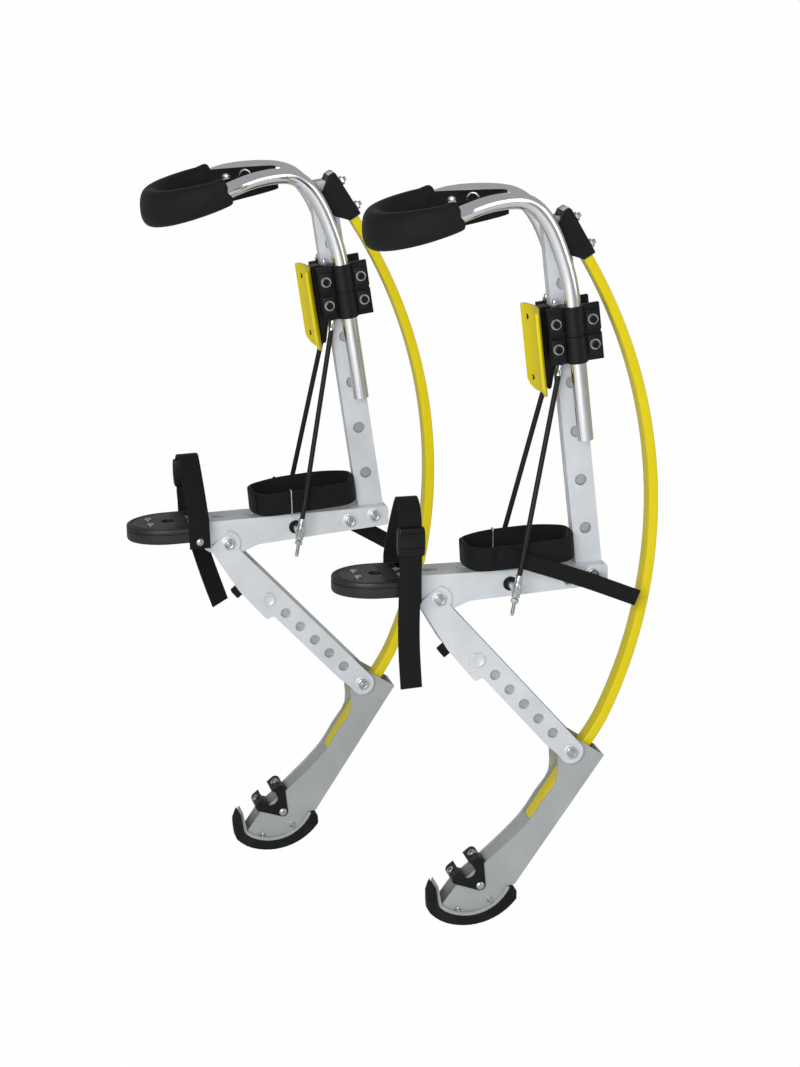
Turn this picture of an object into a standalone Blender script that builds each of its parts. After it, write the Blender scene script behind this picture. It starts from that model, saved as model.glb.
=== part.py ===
# A pair of jumping stilts: two mirrored stilts standing side by side, each an
# assembly of foot frame, upright, leaf spring, knee cuff on sliding tubes, and
# a linked leg with a rubber hoof. Metres, +Z up, toes towards -X.
# The origin is on top of the left toe plate, under the ball of the foot.
import math

import bpy
import bmesh
from mathutils import Matrix, Vector

# Running and seating gaps
GAP = 0.0003
PIN_GAP = 0.0004
CUT_OVER = 0.01

# Where the pair stands: the right stilt is ahead of the left one and leans more to the toes
PAIR_SPREAD = 0.308
PAIR_LEAD = 0.208
RIGHT_PITCH = math.radians(1.95)
RIGHT_KNEE_DROP = 0.011

# Foot frame, an upside-down channel; the link pivot is the stilt's own zero
FRAME_TOP = 0.030
FRAME_WIDTH = 0.048
FRAME_CHEEK = 0.004
FRAME_WEB = 0.0035
FRAME_FRONT = 0.032
FRAME_DEPTH_REAR = 0.0255
FRAME_DEPTH_MID = 0.036
FRAME_LUG = 0.0155
WEB_SLOT_LENGTH = 0.022
WEB_SLOT_WIDTH = 0.010
WEB_SLOT_FIRST = -0.006
WEB_SLOT_PITCH = 0.044
WEB_SLOT_COUNT = 4
FRAME_TONGUE = 0.004
TONGUE_DROP = 0.0133
HEEL_SOLID = 0.024
HEEL_TAIL = 0.0190

# Upright rail, leaning towards the toes
HEEL_X = 0.195
HEEL_Z = 0.019
UPRIGHT_LEAN = math.radians(6.4)
UPRIGHT_DEPTH = 0.033
UPRIGHT_WIDTH = 0.018
UPRIGHT_WALL = 0.0025
UPRIGHT_FOOT = 0.008
UPRIGHT_SAW = 0.0313
RAIL_HOLE_RADIUS = 0.007
RAIL_HOLE_FIRST = 0.055
RAIL_HOLE_PITCH = 0.0617
RAIL_HOLE_COUNT = 6

# Toe plate
PLATE_REACH = 0.128
PLATE_HALF = 0.045
PLATE_THICK = 0.020
PLATE_STRAIGHT = 0.040
PLATE_RIM = 0.006
PLATE_HOLE_X = 0.074
PLATE_HOLE_RADIUS = 0.0085
TREAD_X = 0.048

# Leaf spring: straight head, bow, straight foot
SPRING_THICK = 0.012
SPRING_WIDTH = 0.025
SPRING_TOP_X = 0.157
SPRING_TOP_Z = 0.461
SPRING_HEAD = 0.066
SPRING_HEAD_LEAN = math.radians(30.0)
SPRING_BOW_UPPER = 0.2621
SPRING_BOW_LOWER = 0.2014
SPRING_FOOT_START = 0.024
SPRING_FOOT = 0.078
SPRING_INSET = 0.0225
SPRING_SEAT = 0.042
SPRING_STEPS = 36

# Top bracket that clamps the spring on the cut end of the upright
BRACKET_FLANGE = 0.004
BRACKET_CHEEK = 0.0025
BRACKET_ABOVE = 0.007
BRACKET_LENGTH = 0.057
BRACKET_SKIRT = 0.014
BRACKET_LIP = 0.0035

# Knee tubes, cuff and strap
TUBE_RADIUS = 0.010
TUBE_WALL = 0.0018
TUBE_BACK = 0.006
TUBE_FOOT = 0.171
TUBE_STRAIGHT = 0.352
TUBE_SIDE_GAP = 0.0007
TUBE_APEX_X = 0.101
TUBE_APEX_Z = 0.485
TUBE_APEX_HALF = 0.029
CUFF_HALF = 0.0635
CUFF_FRONT = 0.0745
CUFF_BACK = 0.016
CUFF_BELOW = 0.033
CUFF_RISE = 0.019
CUFF_WING_RISE = 0.006
CUFF_HEIGHT = 0.047
CUFF_THICK = 0.026
CUFF_CROWN = 0.003
CUFF_WING = 0.78
KNEE_STRAP_THICK = 0.003
KNEE_STRAP_HEIGHT = 0.030
KNEE_STRAP_BACK = 0.088
KNEE_STRAP_RISE = 0.020
KNEE_STRAP_SLOPE = math.radians(5.0)

# Tube clamps on the upright
CLAMP_FOOT = 0.268
CLAMP_HEIGHT = 0.070
CLAMP_WALL = 0.003
CLAMP_FLANGE = 0.003
CLAMP_HALF = 0.033

# Calf plate and its bracket
CALF_AHEAD = 0.033
CALF_THICK = 0.004
CALF_HALF = 0.036
CALF_HOLLOW = 0.009
CALF_FOOT = 0.230
CALF_HEIGHT = 0.108
CALF_CORNER = 0.019
CALF_ARM_WIDTH = 0.018
CALF_ARM_TAIL = 0.014

# Tie cables and their anchor rod
CABLE_RADIUS = 0.0032
CABLE_TOP_U = -0.014
CABLE_TOP_HALF = 0.0185
ANCHOR_X = 0.090
ANCHOR_Z = 0.013
ANCHOR_RADIUS = 0.0045
ANCHOR_HALF = 0.061
ANCHOR_CABLE_HALF = 0.055
EYE_RADIUS = 0.0058
EYE_LENGTH = 0.018
EYE_TAIL_RADIUS = 0.0026
EYE_TAIL = 0.022

# Toe strap
WEBBING = 0.003
TOE_STRAP_WIDTH = 0.027
TOE_STRAP_BACK = 0.040
LEFT_STRAP_TOP = 0.129
RIGHT_STRAP_TOP = 0.109
TOE_STRAP_SPRINGING = 0.099
TOE_STRAP_INNER = 0.038
TOE_STRAP_APEX = 0.021
TOE_STRAP_BOW = 1.8
TOE_STRAP_END = 0.002
TAIL_WEBBING = 0.0025
TOE_TAIL_END = -0.104
RIGHT_TAIL_SWING = math.radians(13.0)
KEEPER_WALL = 0.003
KEEPER_HEIGHT = 0.036

# Heel strap
HEEL_STRAP_HALF = 0.039
HEEL_STRAP_FRONT = 0.038
HEEL_STRAP_FOOT = 0.0365
HEEL_STRAP_HEIGHT = 0.031
HEEL_STRAP_RISE = 0.004
HEEL_TAIL_WIDTH = 0.021
HEEL_TAIL_START = 0.070
HEEL_TAIL_LENGTH = 0.190
HEEL_TAIL_Z = 0.057
LEFT_HEEL_SLOPE = math.radians(20.8)
RIGHT_HEEL_SLOPE = math.radians(31.5)

# Link, a channel from the foot frame to the leg
LINK_LENGTH = 0.270
LINK_DOWN = math.radians(51.0)
LINK_WALL = 0.004
LINK_EYE = 0.0155
LINK_RISE_UPPER = 0.006
LINK_RISE_LOWER = 0.0135
LINK_DROP_UPPER = 0.033
LINK_DROP_EYE = 0.0225
LINK_END = 0.0125
LINK_DROP_LOWER = 0.020
LINK_STEP = 0.116
LINK_WEB = 0.003
LINK_WEB_START = 0.050
LINK_WEB_END = 0.030
LINK_HOLE_RADIUS = 0.0065
LINK_HOLE_FIRST = 0.124
LINK_HOLE_PITCH = 0.0275
LINK_HOLE_COUNT = 5
LINK_HOLE_DROP = 0.009
LINK_PIN_ALONG = 0.0935
LINK_PIN_DROP = 0.0135
LINK_PIN_RADIUS = 0.0085
LINK_PIN_HEAD = 0.003
BUMPER_ALONG = 0.0655
BUMPER_LENGTH = 0.0125
BUMPER_HALF = 0.007
BUMPER_DROP = 0.043

# Pivot and heel bolts
BOLT_RADIUS = 0.004
BOLT_HEAD_RADIUS = 0.0075
BOLT_HEAD = 0.0055

# Leg, a channel open to the front that narrows downwards, ending in a rim for the hoof
LEG_LEAN = math.radians(34.3)
LEG_HALF = 0.022
LEG_NARROWING = 0.0248
LEG_WALL = 0.003
LEG_WEB = 0.004
LEG_BACK = 0.0425
LEG_HEAD = 0.0165
LEG_WAIST = 0.009
LEG_WAIST_FROM = 0.042
LEG_WAIST_TO = 0.105
LEG_HEEL = 0.1835
HOOF_DOWN = 0.198
HOOF_AHEAD = 0.021
RIM_RADIUS = 0.0592
RIM_PLATE = 0.004
RIM_HALF = 0.021
RIM_NOSE = 0.0135
RIM_REAR = math.radians(-26.0)
RIM_FRONT = math.radians(-127.0)
RIM_WALL = 0.027
SOLE_THICK = 0.0128
SOLE_END = 0.009
SOLE_HALF = 0.022
SOLE_NOSE = 0.0215
SOLE_RADIUS = 0.079

# Spring clamp, a three-cornered saddle on the leg's ankle
EAR_RADIUS = 0.0068
EAR_SPACING = 0.0342
EAR_BACK = 0.0265
EAR_SLOPE = math.radians(37.7)
EAR_UPPER_DOWN = 0.182
EAR_UPPER_AHEAD = 0.0163
CLAMP_PLATE = 0.003
CLAMP_SCOOP = 0.0105

ARC_STEPS = 4
ROUND_SIDES = 12
WELD = 0.00002


# Outlines

def rounded(corners):
    # Closed outline from corners (x, y, radius), each radius limited by its edges
    points = []
    for index, (x, y, radius) in enumerate(corners):
        here = Vector((x, y))
        before = Vector(corners[index - 1][:2]) - here
        after = Vector(corners[(index + 1) % len(corners)][:2]) - here
        if radius <= 0.0:
            points.append((x, y))
            continue
        half = before.angle(after) / 2
        reach = min(radius / math.tan(half), 0.49 * before.length, 0.49 * after.length)
        radius = reach * math.tan(half)
        centre = here + (before.normalized() + after.normalized()).normalized() * (radius / math.sin(half))
        start = here + before.normalized() * reach - centre
        turn = start.angle_signed(here + after.normalized() * reach - centre)
        for step in range(ARC_STEPS + 1):
            angle = math.atan2(start.y, start.x) - turn * step / ARC_STEPS
            points.append((centre.x + radius * math.cos(angle), centre.y + radius * math.sin(angle)))
    return points


def arc(centre, radius, start, end, steps):
    angles = [start + (end - start) * step / steps for step in range(steps + 1)]
    return [(centre[0] + radius * math.cos(a), centre[1] + radius * math.sin(a)) for a in angles]


def circle(centre, radius, sides=ROUND_SIDES):
    return arc(centre, radius, 0.0, math.tau * (sides - 1) / sides, sides - 1)


def slot(centre, length, width):
    run = (length - width) / 2
    right = arc((centre[0] + run, centre[1]), width / 2, -math.pi / 2, math.pi / 2, ARC_STEPS)
    left = arc((centre[0] - run, centre[1]), width / 2, math.pi / 2, 1.5 * math.pi, ARC_STEPS)
    return right + left


def beside(path, offset, closed=False):
    # The path moved to its left by the offset
    moved = []
    last = len(path) - 1
    for index, point in enumerate(path):
        back = path[index - 1] if index > 0 or closed else path[0]
        on = path[(index + 1) % len(path)] if index < last or closed else path[last]
        way = (Vector(on) - Vector(back)).normalized()
        moved.append((point[0] - way.y * offset, point[1] + way.x * offset))
    return moved


def ribbon(path, thickness):
    return beside(path, thickness / 2) + beside(path, -thickness / 2)[::-1]


def bezier(first, second, third, fourth, steps):
    points = []
    for step in range(steps + 1):
        t = step / steps
        s = 1.0 - t
        mix = (s ** 3, 3 * s * s * t, 3 * s * t * t, t ** 3)
        points.append(tuple(sum(m * p[axis] for m, p in zip(mix, (first, second, third, fourth)))
                            for axis in range(2)))
    return points


def smooth(route, steps):
    # Catmull-Rom curve through the route's points
    ends = [2 * route[0] - route[1]] + route + [2 * route[-1] - route[-2]]
    points = []
    for a, b, c, d in zip(ends, ends[1:], ends[2:], ends[3:]):
        for step in range(steps):
            t = step / steps
            points.append(0.5 * (2 * b + (c - a) * t + (2 * a - 5 * b + 4 * c - d) * t ** 2
                                 + (3 * b - a - 3 * c + d) * t ** 3))
    return points + [route[-1]]


# Solids

def axes(origin, along, across):
    # Matrix whose local X and Y run along the two directions
    x = Vector(along).normalized()
    y = Vector(across).normalized()
    matrix = Matrix((x, y, x.cross(y))).transposed().to_4x4()
    matrix.translation = Vector(origin)
    return matrix


def side(x=0.0, z=0.0, y=0.0):
    return axes((x, y, z), (1, 0, 0), (0, 0, 1))


def in_scene(name, data, matrix):
    thing = bpy.data.objects.new(name, data)
    bpy.context.scene.collection.objects.link(thing)
    thing.matrix_world = matrix
    return thing


def meshed(curve_object):
    # The curve as a mesh object with its caps and edges welded
    bpy.context.view_layer.update()
    evaluated = curve_object.evaluated_get(bpy.context.evaluated_depsgraph_get())
    mesh = bpy.data.meshes.new_from_object(evaluated)
    shape = bmesh.new()
    shape.from_mesh(mesh)
    bmesh.ops.remove_doubles(shape, verts=shape.verts, dist=1e-6)
    bmesh.ops.recalc_face_normals(shape, faces=shape.faces)
    shape.to_mesh(mesh)
    shape.free()
    name = curve_object.name
    matrix = curve_object.matrix_world.copy()
    curve = curve_object.data
    bpy.data.objects.remove(curve_object)
    bpy.data.curves.remove(curve)
    return in_scene(name, mesh, matrix)


def flat(name, loops, thickness, matrix):
    # Outline with holes, filled and extruded to both sides of its plane
    curve = bpy.data.curves.new(name, "CURVE")
    curve.dimensions = "2D"
    curve.fill_mode = "BOTH"
    curve.extrude = thickness / 2
    for loop in loops:
        spline = curve.splines.new("POLY")
        spline.points.add(len(loop) - 1)
        for point, place in zip(spline.points, loop):
            point.co = (place[0], place[1], 0.0, 1.0)
        spline.use_cyclic_u = True
    return meshed(in_scene(name, curve, matrix))


def tube(name, points, radius, rounds, matrix, radii=None, section=None):
    curve = bpy.data.curves.new(name, "CURVE")
    curve.dimensions = "3D"
    curve.use_fill_caps = True
    if section:
        curve.twist_mode = "Z_UP"
        curve.bevel_mode = "OBJECT"
        curve.bevel_object = section
    else:
        curve.bevel_depth = radius
        curve.bevel_resolution = rounds
    spline = curve.splines.new("POLY")
    spline.points.add(len(points) - 1)
    for index, (point, place) in enumerate(zip(spline.points, points)):
        point.co = (*place, 1.0)
        point.radius = radii[index] if radii else 1.0
    return meshed(in_scene(name, curve, matrix))


def primitive(name, frame, maker, **settings):
    mesh = bpy.data.meshes.new(name)
    shape = bmesh.new()
    maker(shape, **settings)
    shape.to_mesh(mesh)
    shape.free()
    return in_scene(name, mesh, frame)


def box(name, low, high, matrix):
    middle = (Vector(low) + Vector(high)) / 2
    size = Vector(high) - Vector(low)
    return primitive(name, matrix, bmesh.ops.create_cube, size=1.0,
                     matrix=Matrix.Translation(middle) @ Matrix.Diagonal((*size, 1.0)))


def rod(name, radius, start, end, sides=ROUND_SIDES, matrix=Matrix()):
    # Cylinder between two points
    run = Vector(end) - Vector(start)
    turn = Vector((0, 0, 1)).rotation_difference(run).to_matrix().to_4x4()
    place = Matrix.Translation((Vector(start) + Vector(end)) / 2) @ turn
    return primitive(name, matrix, bmesh.ops.create_cone, cap_ends=True, segments=sides,
                     radius1=radius, radius2=radius, depth=run.length, matrix=place)


def combine(part, tool, operation):
    modifier = part.modifiers.new(tool.name, "BOOLEAN")
    modifier.operation = operation
    modifier.object = tool
    tool.hide_render = True
    tool.display_type = "WIRE"
    for owner in list(tool.users_collection):
        owner.objects.unlink(tool)
    cutters.objects.link(tool)


def cut(part, *tools):
    for tool in tools:
        combine(part, tool, "DIFFERENCE")


def join(part, *tools):
    for tool in tools:
        combine(part, tool, "UNION")


def finish(part, colour, roughness, metallic):
    material = bpy.data.materials.new(part.name)
    material.use_nodes = True
    shader = material.node_tree.nodes["Principled BSDF"]
    shader.inputs["Base Color"].default_value = (*colour, 1.0)
    shader.inputs["Roughness"].default_value = roughness
    shader.inputs["Metallic"].default_value = metallic
    part.data.materials.append(material)
    part.data.shade_smooth()
    part.data.set_sharp_from_angle(angle=math.radians(35))


def silver(part):
    finish(part, (0.62, 0.64, 0.66), 0.42, 0.9)


def chrome(part):
    finish(part, (0.70, 0.70, 0.70), 0.18, 1.0)


def zinc(part):
    finish(part, (0.55, 0.57, 0.58), 0.32, 1.0)


def black_paint(part):
    finish(part, (0.020, 0.021, 0.023), 0.45, 0.0)


def black_plastic(part):
    finish(part, (0.022, 0.023, 0.026), 0.55, 0.0)


def foam(part):
    finish(part, (0.028, 0.029, 0.032), 0.80, 0.0)


def webbing(part):
    finish(part, (0.012, 0.012, 0.014), 0.85, 0.0)


def rubber(part):
    finish(part, (0.020, 0.021, 0.022), 0.75, 0.0)


def yellow(part):
    finish(part, (0.74, 0.62, 0.02), 0.35, 0.0)


# Derived places, in a stilt's own side plane (x, z)

UP = Vector((-math.sin(UPRIGHT_LEAN), math.cos(UPRIGHT_LEAN)))
BACK = Vector((math.cos(UPRIGHT_LEAN), math.sin(UPRIGHT_LEAN)))
HEEL = Vector((HEEL_X, HEEL_Z))
HEAD_WAY = Vector((math.sin(SPRING_HEAD_LEAN), -math.cos(SPRING_HEAD_LEAN)))
HEAD_OUT = Vector((math.cos(SPRING_HEAD_LEAN), math.sin(SPRING_HEAD_LEAN)))
SPRING_TOP = Vector((SPRING_TOP_X, SPRING_TOP_Z))
LINK_WAY = Vector((math.cos(LINK_DOWN), -math.sin(LINK_DOWN)))
LINK_OUT = Vector((math.sin(LINK_DOWN), math.cos(LINK_DOWN)))
ANKLE_PIVOT = LINK_WAY * LINK_LENGTH
LEG_WAY = Vector((-math.sin(LEG_LEAN), -math.cos(LEG_LEAN)))
LEG_FRONT = Vector((-math.cos(LEG_LEAN), math.sin(LEG_LEAN)))
HOOF = ANKLE_PIVOT + LEG_WAY * HOOF_DOWN + LEG_FRONT * HOOF_AHEAD
LINK_HALF = FRAME_WIDTH / 2 + PIN_GAP + LINK_WALL
BRACKET_HALF = SPRING_WIDTH / 2 + GAP + BRACKET_CHEEK
TUBE_HALF = BRACKET_HALF + TUBE_SIDE_GAP + TUBE_RADIUS
FLANGE_FOOT = SPRING_THICK / 2 + GAP
CUFF_Z = TUBE_APEX_Z - CUFF_BELOW


def on_upright(u, w):
    return HEEL + BACK * u + UP * w


def on_link(along, out):
    return LINK_WAY * along + LINK_OUT * out


def on_leg(down, ahead):
    return ANKLE_PIVOT + LEG_WAY * down + LEG_FRONT * ahead


def on_head(along, out):
    return SPRING_TOP + HEAD_WAY * along + HEAD_OUT * out


def upright_frame():
    # Local X to the rear, Y across, Z up the rail
    return axes((HEEL.x, 0, HEEL.y), (BACK.x, 0, BACK.y), (0, 1, 0))


def upright_side():
    # Local X to the rear, Y up the rail
    return axes((HEEL.x, 0, HEEL.y), (BACK.x, 0, BACK.y), (UP.x, 0, UP.y))


def narrowed(part):
    # Squeezes a piece across as the leg's walls come closer down to the hoof
    for vertex in part.data.vertices:
        place = part.matrix_world @ vertex.co
        down = (Vector((place.x, place.z)) - ANKLE_PIVOT).dot(LEG_WAY)
        vertex.co.z *= 1 - LEG_NARROWING * (down + LEG_HEAD) / LEG_HALF
    return part


def nosed(name, front, rear, half, nose):
    # Plan of the hoof, an upright block with a round nose
    plan = rounded([(front, -half, nose), (rear, -half, 0.004), (rear, half, 0.004), (front, half, nose)])
    return flat(name, [plan], 4 * RIM_RADIUS, Matrix.Translation((0, 0, HOOF.y)))


def rim_path():
    # Middle of the rim's plate, from the rear end round the bottom, then up the front wall
    turn = arc(HOOF, RIM_RADIUS - RIM_PLATE / 2, RIM_REAR, RIM_FRONT, 14)
    way = Vector((math.sin(RIM_FRONT), -math.cos(RIM_FRONT))).normalized()
    lift = Vector((-0.2, 1.0)).normalized()
    corner = Vector(turn[-1])
    return turn + [tuple(corner + (way + lift).normalized() * RIM_PLATE), tuple(corner + lift * RIM_WALL)]


def cable_route(across):
    # The cable's end is square to it, so it stops short by its slant
    top = on_upright(CABLE_TOP_U, CLAMP_FOOT - GAP - 0.3 * CABLE_RADIUS)
    head = Vector((top.x, across * CABLE_TOP_HALF, top.y))
    foot = Vector((ANCHOR_X, across * ANCHOR_CABLE_HALF, ANCHOR_Z))
    return head, foot


class Stilt:
    def __init__(self, name, outer, base, knee_drop, strap_top, tail_swing, heel_slope):
        self.name = name
        self.outer = outer
        self.base = base
        self.lowered = base @ Matrix.Translation((-UP.x * knee_drop, 0, -UP.y * knee_drop))
        self.strap_top = strap_top
        self.tail_swing = tail_swing
        self.heel_slope = heel_slope
        self.frame = self.axis("frame", (0, 0, 0), None)
        self.knee_bar = self.axis("knee_bar_slide", self.point(on_upright(TUBE_BACK, CLAMP_FOOT)), self.frame)
        self.link = self.axis("link_axis", (0, 0, 0), self.frame)
        self.leg = self.axis("leg_axis", self.point(ANKLE_PIVOT), self.link)

    def point(self, place):
        return (place.x, 0, place.y)

    def axis(self, name, place, parent):
        empty = bpy.data.objects.new(f"{self.name}_{name}", None)
        parts.objects.link(empty)
        empty.parent = parent
        bpy.context.view_layer.update()
        empty.matrix_world = self.base @ Matrix.Translation(place)
        bpy.context.view_layer.update()
        return empty

    def carry(self, part, matrix):
        # Moves a piece with its cutters, and the cutters of those
        for modifier in part.modifiers:
            if modifier.type == "BOOLEAN":
                modifier.object.name = f"{self.name}_{part.name}_{modifier.object.name}"
                self.carry(modifier.object, matrix)
        part.matrix_world = matrix @ part.matrix_world

    def take(self, body, part, look):
        # Moves a finished piece to the stilt and hangs it on its axis
        self.carry(part, self.lowered if body is self.knee_bar else self.base)
        if part.modifiers:
            part.modifiers.new("Weld", "WELD").merge_threshold = WELD
        part.name = f"{self.name}_{part.name}"
        bpy.context.scene.collection.objects.unlink(part)
        parts.objects.link(part)
        look(part)
        part.parent = body
        part.matrix_parent_inverse = body.matrix_world.inverted()
        return part


# Foot frame, upright and toe plate

def through(name, place, radius):
    half = PAIR_SPREAD / 4
    return rod(name, radius, (place.x, -half, place.y), (place.x, half, place.y))


def add_foot_frame(stilt):
    rear = HEEL_X + HEEL_TAIL
    step = FRAME_LUG + 0.024
    outline = rounded([(-FRAME_FRONT, FRAME_TOP, 0.003), (rear, FRAME_TOP, 0.004),
                       (rear, FRAME_TOP - FRAME_DEPTH_REAR, 0.004),
                       (step, FRAME_TOP - FRAME_DEPTH_MID, 0.012),
                       (FRAME_LUG, -FRAME_LUG, 0.014), (-FRAME_LUG, -FRAME_LUG, 0.014),
                       (-FRAME_FRONT, FRAME_TOP - FRAME_DEPTH_MID, 0.008)])
    frame = flat("foot_frame", [outline], FRAME_WIDTH, side())
    inner = FRAME_WIDTH / 2 - FRAME_CHEEK
    heel_front = HEEL_X - HEEL_SOLID
    low = -FRAME_LUG - CUT_OVER
    cut(frame, box("channel", (-FRAME_FRONT - CUT_OVER, -inner, low),
                   (heel_front, inner, FRAME_TOP - FRAME_WEB), Matrix()))
    tongue_top = FRAME_TOP - TONGUE_DROP
    overlap = -FRAME_FRONT + FRAME_CHEEK
    join(frame, box("tongue", (-PLATE_REACH + 3 * PLATE_RIM, -inner - FRAME_CHEEK, tongue_top - FRAME_TONGUE),
                    (overlap, inner + FRAME_CHEEK, tongue_top), Matrix()))
    u = UPRIGHT_DEPTH / 2 + GAP
    v = UPRIGHT_WIDTH / 2 + GAP
    cut(frame, box("pocket", (-u, -v, -UPRIGHT_FOOT - GAP), (u, v, FRAME_TOP + CUT_OVER), upright_frame()))
    for index in range(WEB_SLOT_COUNT):
        x = WEB_SLOT_FIRST + index * WEB_SLOT_PITCH
        cut(frame, flat(f"web_slot_{index}", [slot((x, 0.0), WEB_SLOT_LENGTH, WEB_SLOT_WIDTH)],
                        3 * FRAME_WEB, Matrix.Translation((0, 0, FRAME_TOP))))
    cut(frame, through("link_hole", Vector((0, 0)), BOLT_RADIUS + PIN_GAP),
        through("heel_hole", HEEL, BOLT_RADIUS + PIN_GAP),
        through("anchor_hole", Vector((ANCHOR_X, ANCHOR_Z)), ANCHOR_RADIUS + PIN_GAP))
    cut(frame, rod("plate_hole", PLATE_HOLE_RADIUS, (-PLATE_HOLE_X, 0, 0), (-PLATE_HOLE_X, 0, FRAME_TOP)))
    stilt.take(stilt.frame, frame, silver)


def add_toe_plate(stilt):
    rear = -FRAME_FRONT - GAP
    straight = rear - PLATE_STRAIGHT
    nose = [(straight - (PLATE_REACH + straight) * math.sin(a), PLATE_HALF * math.cos(a))
            for a in (math.pi * step / 18 for step in range(19))]
    outline = [(rear, PLATE_HALF)] + nose + [(rear, -PLATE_HALF)]
    middle = FRAME_TOP - PLATE_THICK / 2
    plate = flat("toe_plate", [outline], PLATE_THICK, Matrix.Translation((0, 0, middle)))
    ceiling = FRAME_TOP - TONGUE_DROP + GAP
    half = FRAME_WIDTH / 2 + GAP
    cut(plate, box("tongue_pocket", (-PLATE_REACH + 3 * PLATE_RIM - GAP, -half, -FRAME_TOP),
                   (rear + CUT_OVER, half, ceiling), Matrix()))
    cut(plate, rod("hole", PLATE_HOLE_RADIUS, (-PLATE_HOLE_X, 0, 0), (-PLATE_HOLE_X, 0, 2 * FRAME_TOP)))
    stilt.take(stilt.frame, plate, black_plastic)


def sawn_top(u):
    # Height on the upright where the line under the spring's head crosses it
    seat = on_head(0.0, -SPRING_THICK / 2 - GAP) - HEEL
    return (seat.dot(HEAD_OUT) - u * BACK.dot(HEAD_OUT)) / UP.dot(HEAD_OUT)


def add_upright(stilt):
    # The top is sawn off along the spring's head, which lies on it
    u = UPRIGHT_DEPTH / 2
    front = u - UPRIGHT_SAW * BACK.dot(HEAD_WAY)
    top = sawn_top(front)
    outline = [(-u, -UPRIGHT_FOOT), (u, -UPRIGHT_FOOT), (u, sawn_top(u)), (front, top), (-u, top)]
    holes = [circle((0.0, 0.0), BOLT_RADIUS + PIN_GAP)]
    for index in range(RAIL_HOLE_COUNT):
        holes.append(circle((0.0, RAIL_HOLE_FIRST + index * RAIL_HOLE_PITCH), RAIL_HOLE_RADIUS))
    rail = flat("upright", [outline] + holes, UPRIGHT_WIDTH, upright_side())
    inner_u = u - UPRIGHT_WALL
    inner_v = UPRIGHT_WIDTH / 2 - UPRIGHT_WALL
    cut(rail, box("hollow", (-inner_u, -inner_v, -UPRIGHT_FOOT - CUT_OVER),
                  (inner_u, inner_v, top + CUT_OVER), upright_frame()))
    stilt.take(stilt.frame, rail, silver)


# Spring and its top bracket

def spring_path():
    bow_start = SPRING_TOP + HEAD_WAY * SPRING_HEAD
    foot_start = on_leg(SPRING_FOOT_START, -SPRING_INSET)
    foot_end = on_leg(SPRING_FOOT_START + SPRING_FOOT, -SPRING_INSET)
    bow = bezier(bow_start, bow_start + HEAD_WAY * SPRING_BOW_UPPER,
                 foot_start - LEG_WAY * SPRING_BOW_LOWER, foot_start, SPRING_STEPS)
    return [tuple(SPRING_TOP)] + bow + [tuple(foot_end)]


def add_spring(stilt):
    leaf = flat("spring", [ribbon(spring_path(), SPRING_THICK)], SPRING_WIDTH, side())
    stilt.take(stilt.frame, leaf, yellow)


def add_top_bracket(stilt):
    head = FLANGE_FOOT + BRACKET_FLANGE
    skirt = -SPRING_THICK / 2 - BRACKET_SKIRT
    corners = [(-BRACKET_ABOVE, head, 0.003), (BRACKET_LENGTH, head, 0.002),
               (BRACKET_LENGTH, -SPRING_THICK / 2, 0.002), (BRACKET_LENGTH - 0.016, skirt, 0.004),
               (BRACKET_ABOVE, skirt, 0.004), (-BRACKET_ABOVE, 0.0, 0.003)]
    plane = axes((SPRING_TOP.x, 0, SPRING_TOP.y), (HEAD_WAY.x, 0, HEAD_WAY.y), (HEAD_OUT.x, 0, HEAD_OUT.y))
    bracket = flat("top_bracket", [rounded(corners)], 2 * BRACKET_HALF, plane)
    inner = BRACKET_HALF - BRACKET_CHEEK
    reach = BRACKET_LENGTH + CUT_OVER
    cut(bracket, box("inside", (-BRACKET_ABOVE + BRACKET_LIP, skirt - CUT_OVER, -inner),
                     (reach, FLANGE_FOOT, inner), plane))
    stilt.take(stilt.frame, bracket, black_paint)


# Knee tubes, cuff and strap

def cuff_wing():
    # End of a cuff wing, and its way back to the tube that it sits on
    way = Vector((CUFF_BACK, 0, CUFF_WING_RISE))
    return Vector((0, CUFF_HALF, CUFF_Z + CUFF_RISE)) + way, way.normalized()


def tube_route(across):
    start = on_upright(TUBE_BACK, TUBE_FOOT)
    bend = on_upright(TUBE_BACK, TUBE_STRAIGHT)
    ease = on_upright(TUBE_BACK, TUBE_STRAIGHT - TUBE_RADIUS)
    inner = TUBE_HALF
    outer = TUBE_APEX_HALF
    apex = Vector((TUBE_APEX_X, outer, TUBE_APEX_Z))
    wing, way = cuff_wing()
    end = wing + way * GAP
    rise = TUBE_APEX_Z - bend.y
    back = bend.x - TUBE_APEX_X
    bent = [Vector((ease.x, inner, ease.y)), Vector((bend.x, inner, bend.y)),
            Vector((bend.x - 0.11 * back, inner + 0.12 * (outer - inner), bend.y + 0.26 * rise)),
            Vector((bend.x - 0.38 * back, inner + 0.48 * (outer - inner), bend.y + 0.65 * rise)),
            Vector((bend.x - 0.66 * back, inner + 0.79 * (outer - inner), bend.y + 0.88 * rise)),
            apex, (apex + end) / 2 + Vector((0, 0, TUBE_RADIUS / 2)), end + way * TUBE_RADIUS]
    curve = [Vector((start.x, inner, start.y))] + smooth(bent, 2) + [end]
    return [Vector((p.x, across * p.y, p.z)) for p in curve]


def add_knee_tube(stilt, name, across):
    route = tube_route(across)
    pipe = tube(name, route, TUBE_RADIUS, 4, Matrix())
    first = route[0] + (route[0] - route[1]).normalized() * CUT_OVER
    last = route[-1] + (route[-1] - route[-2]).normalized() * CUT_OVER
    bore = tube("bore", [first] + route[1:-1] + [last], TUBE_RADIUS - TUBE_WALL, 2, Matrix())
    cut(pipe, bore)
    stilt.take(stilt.knee_bar, pipe, chrome)


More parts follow.
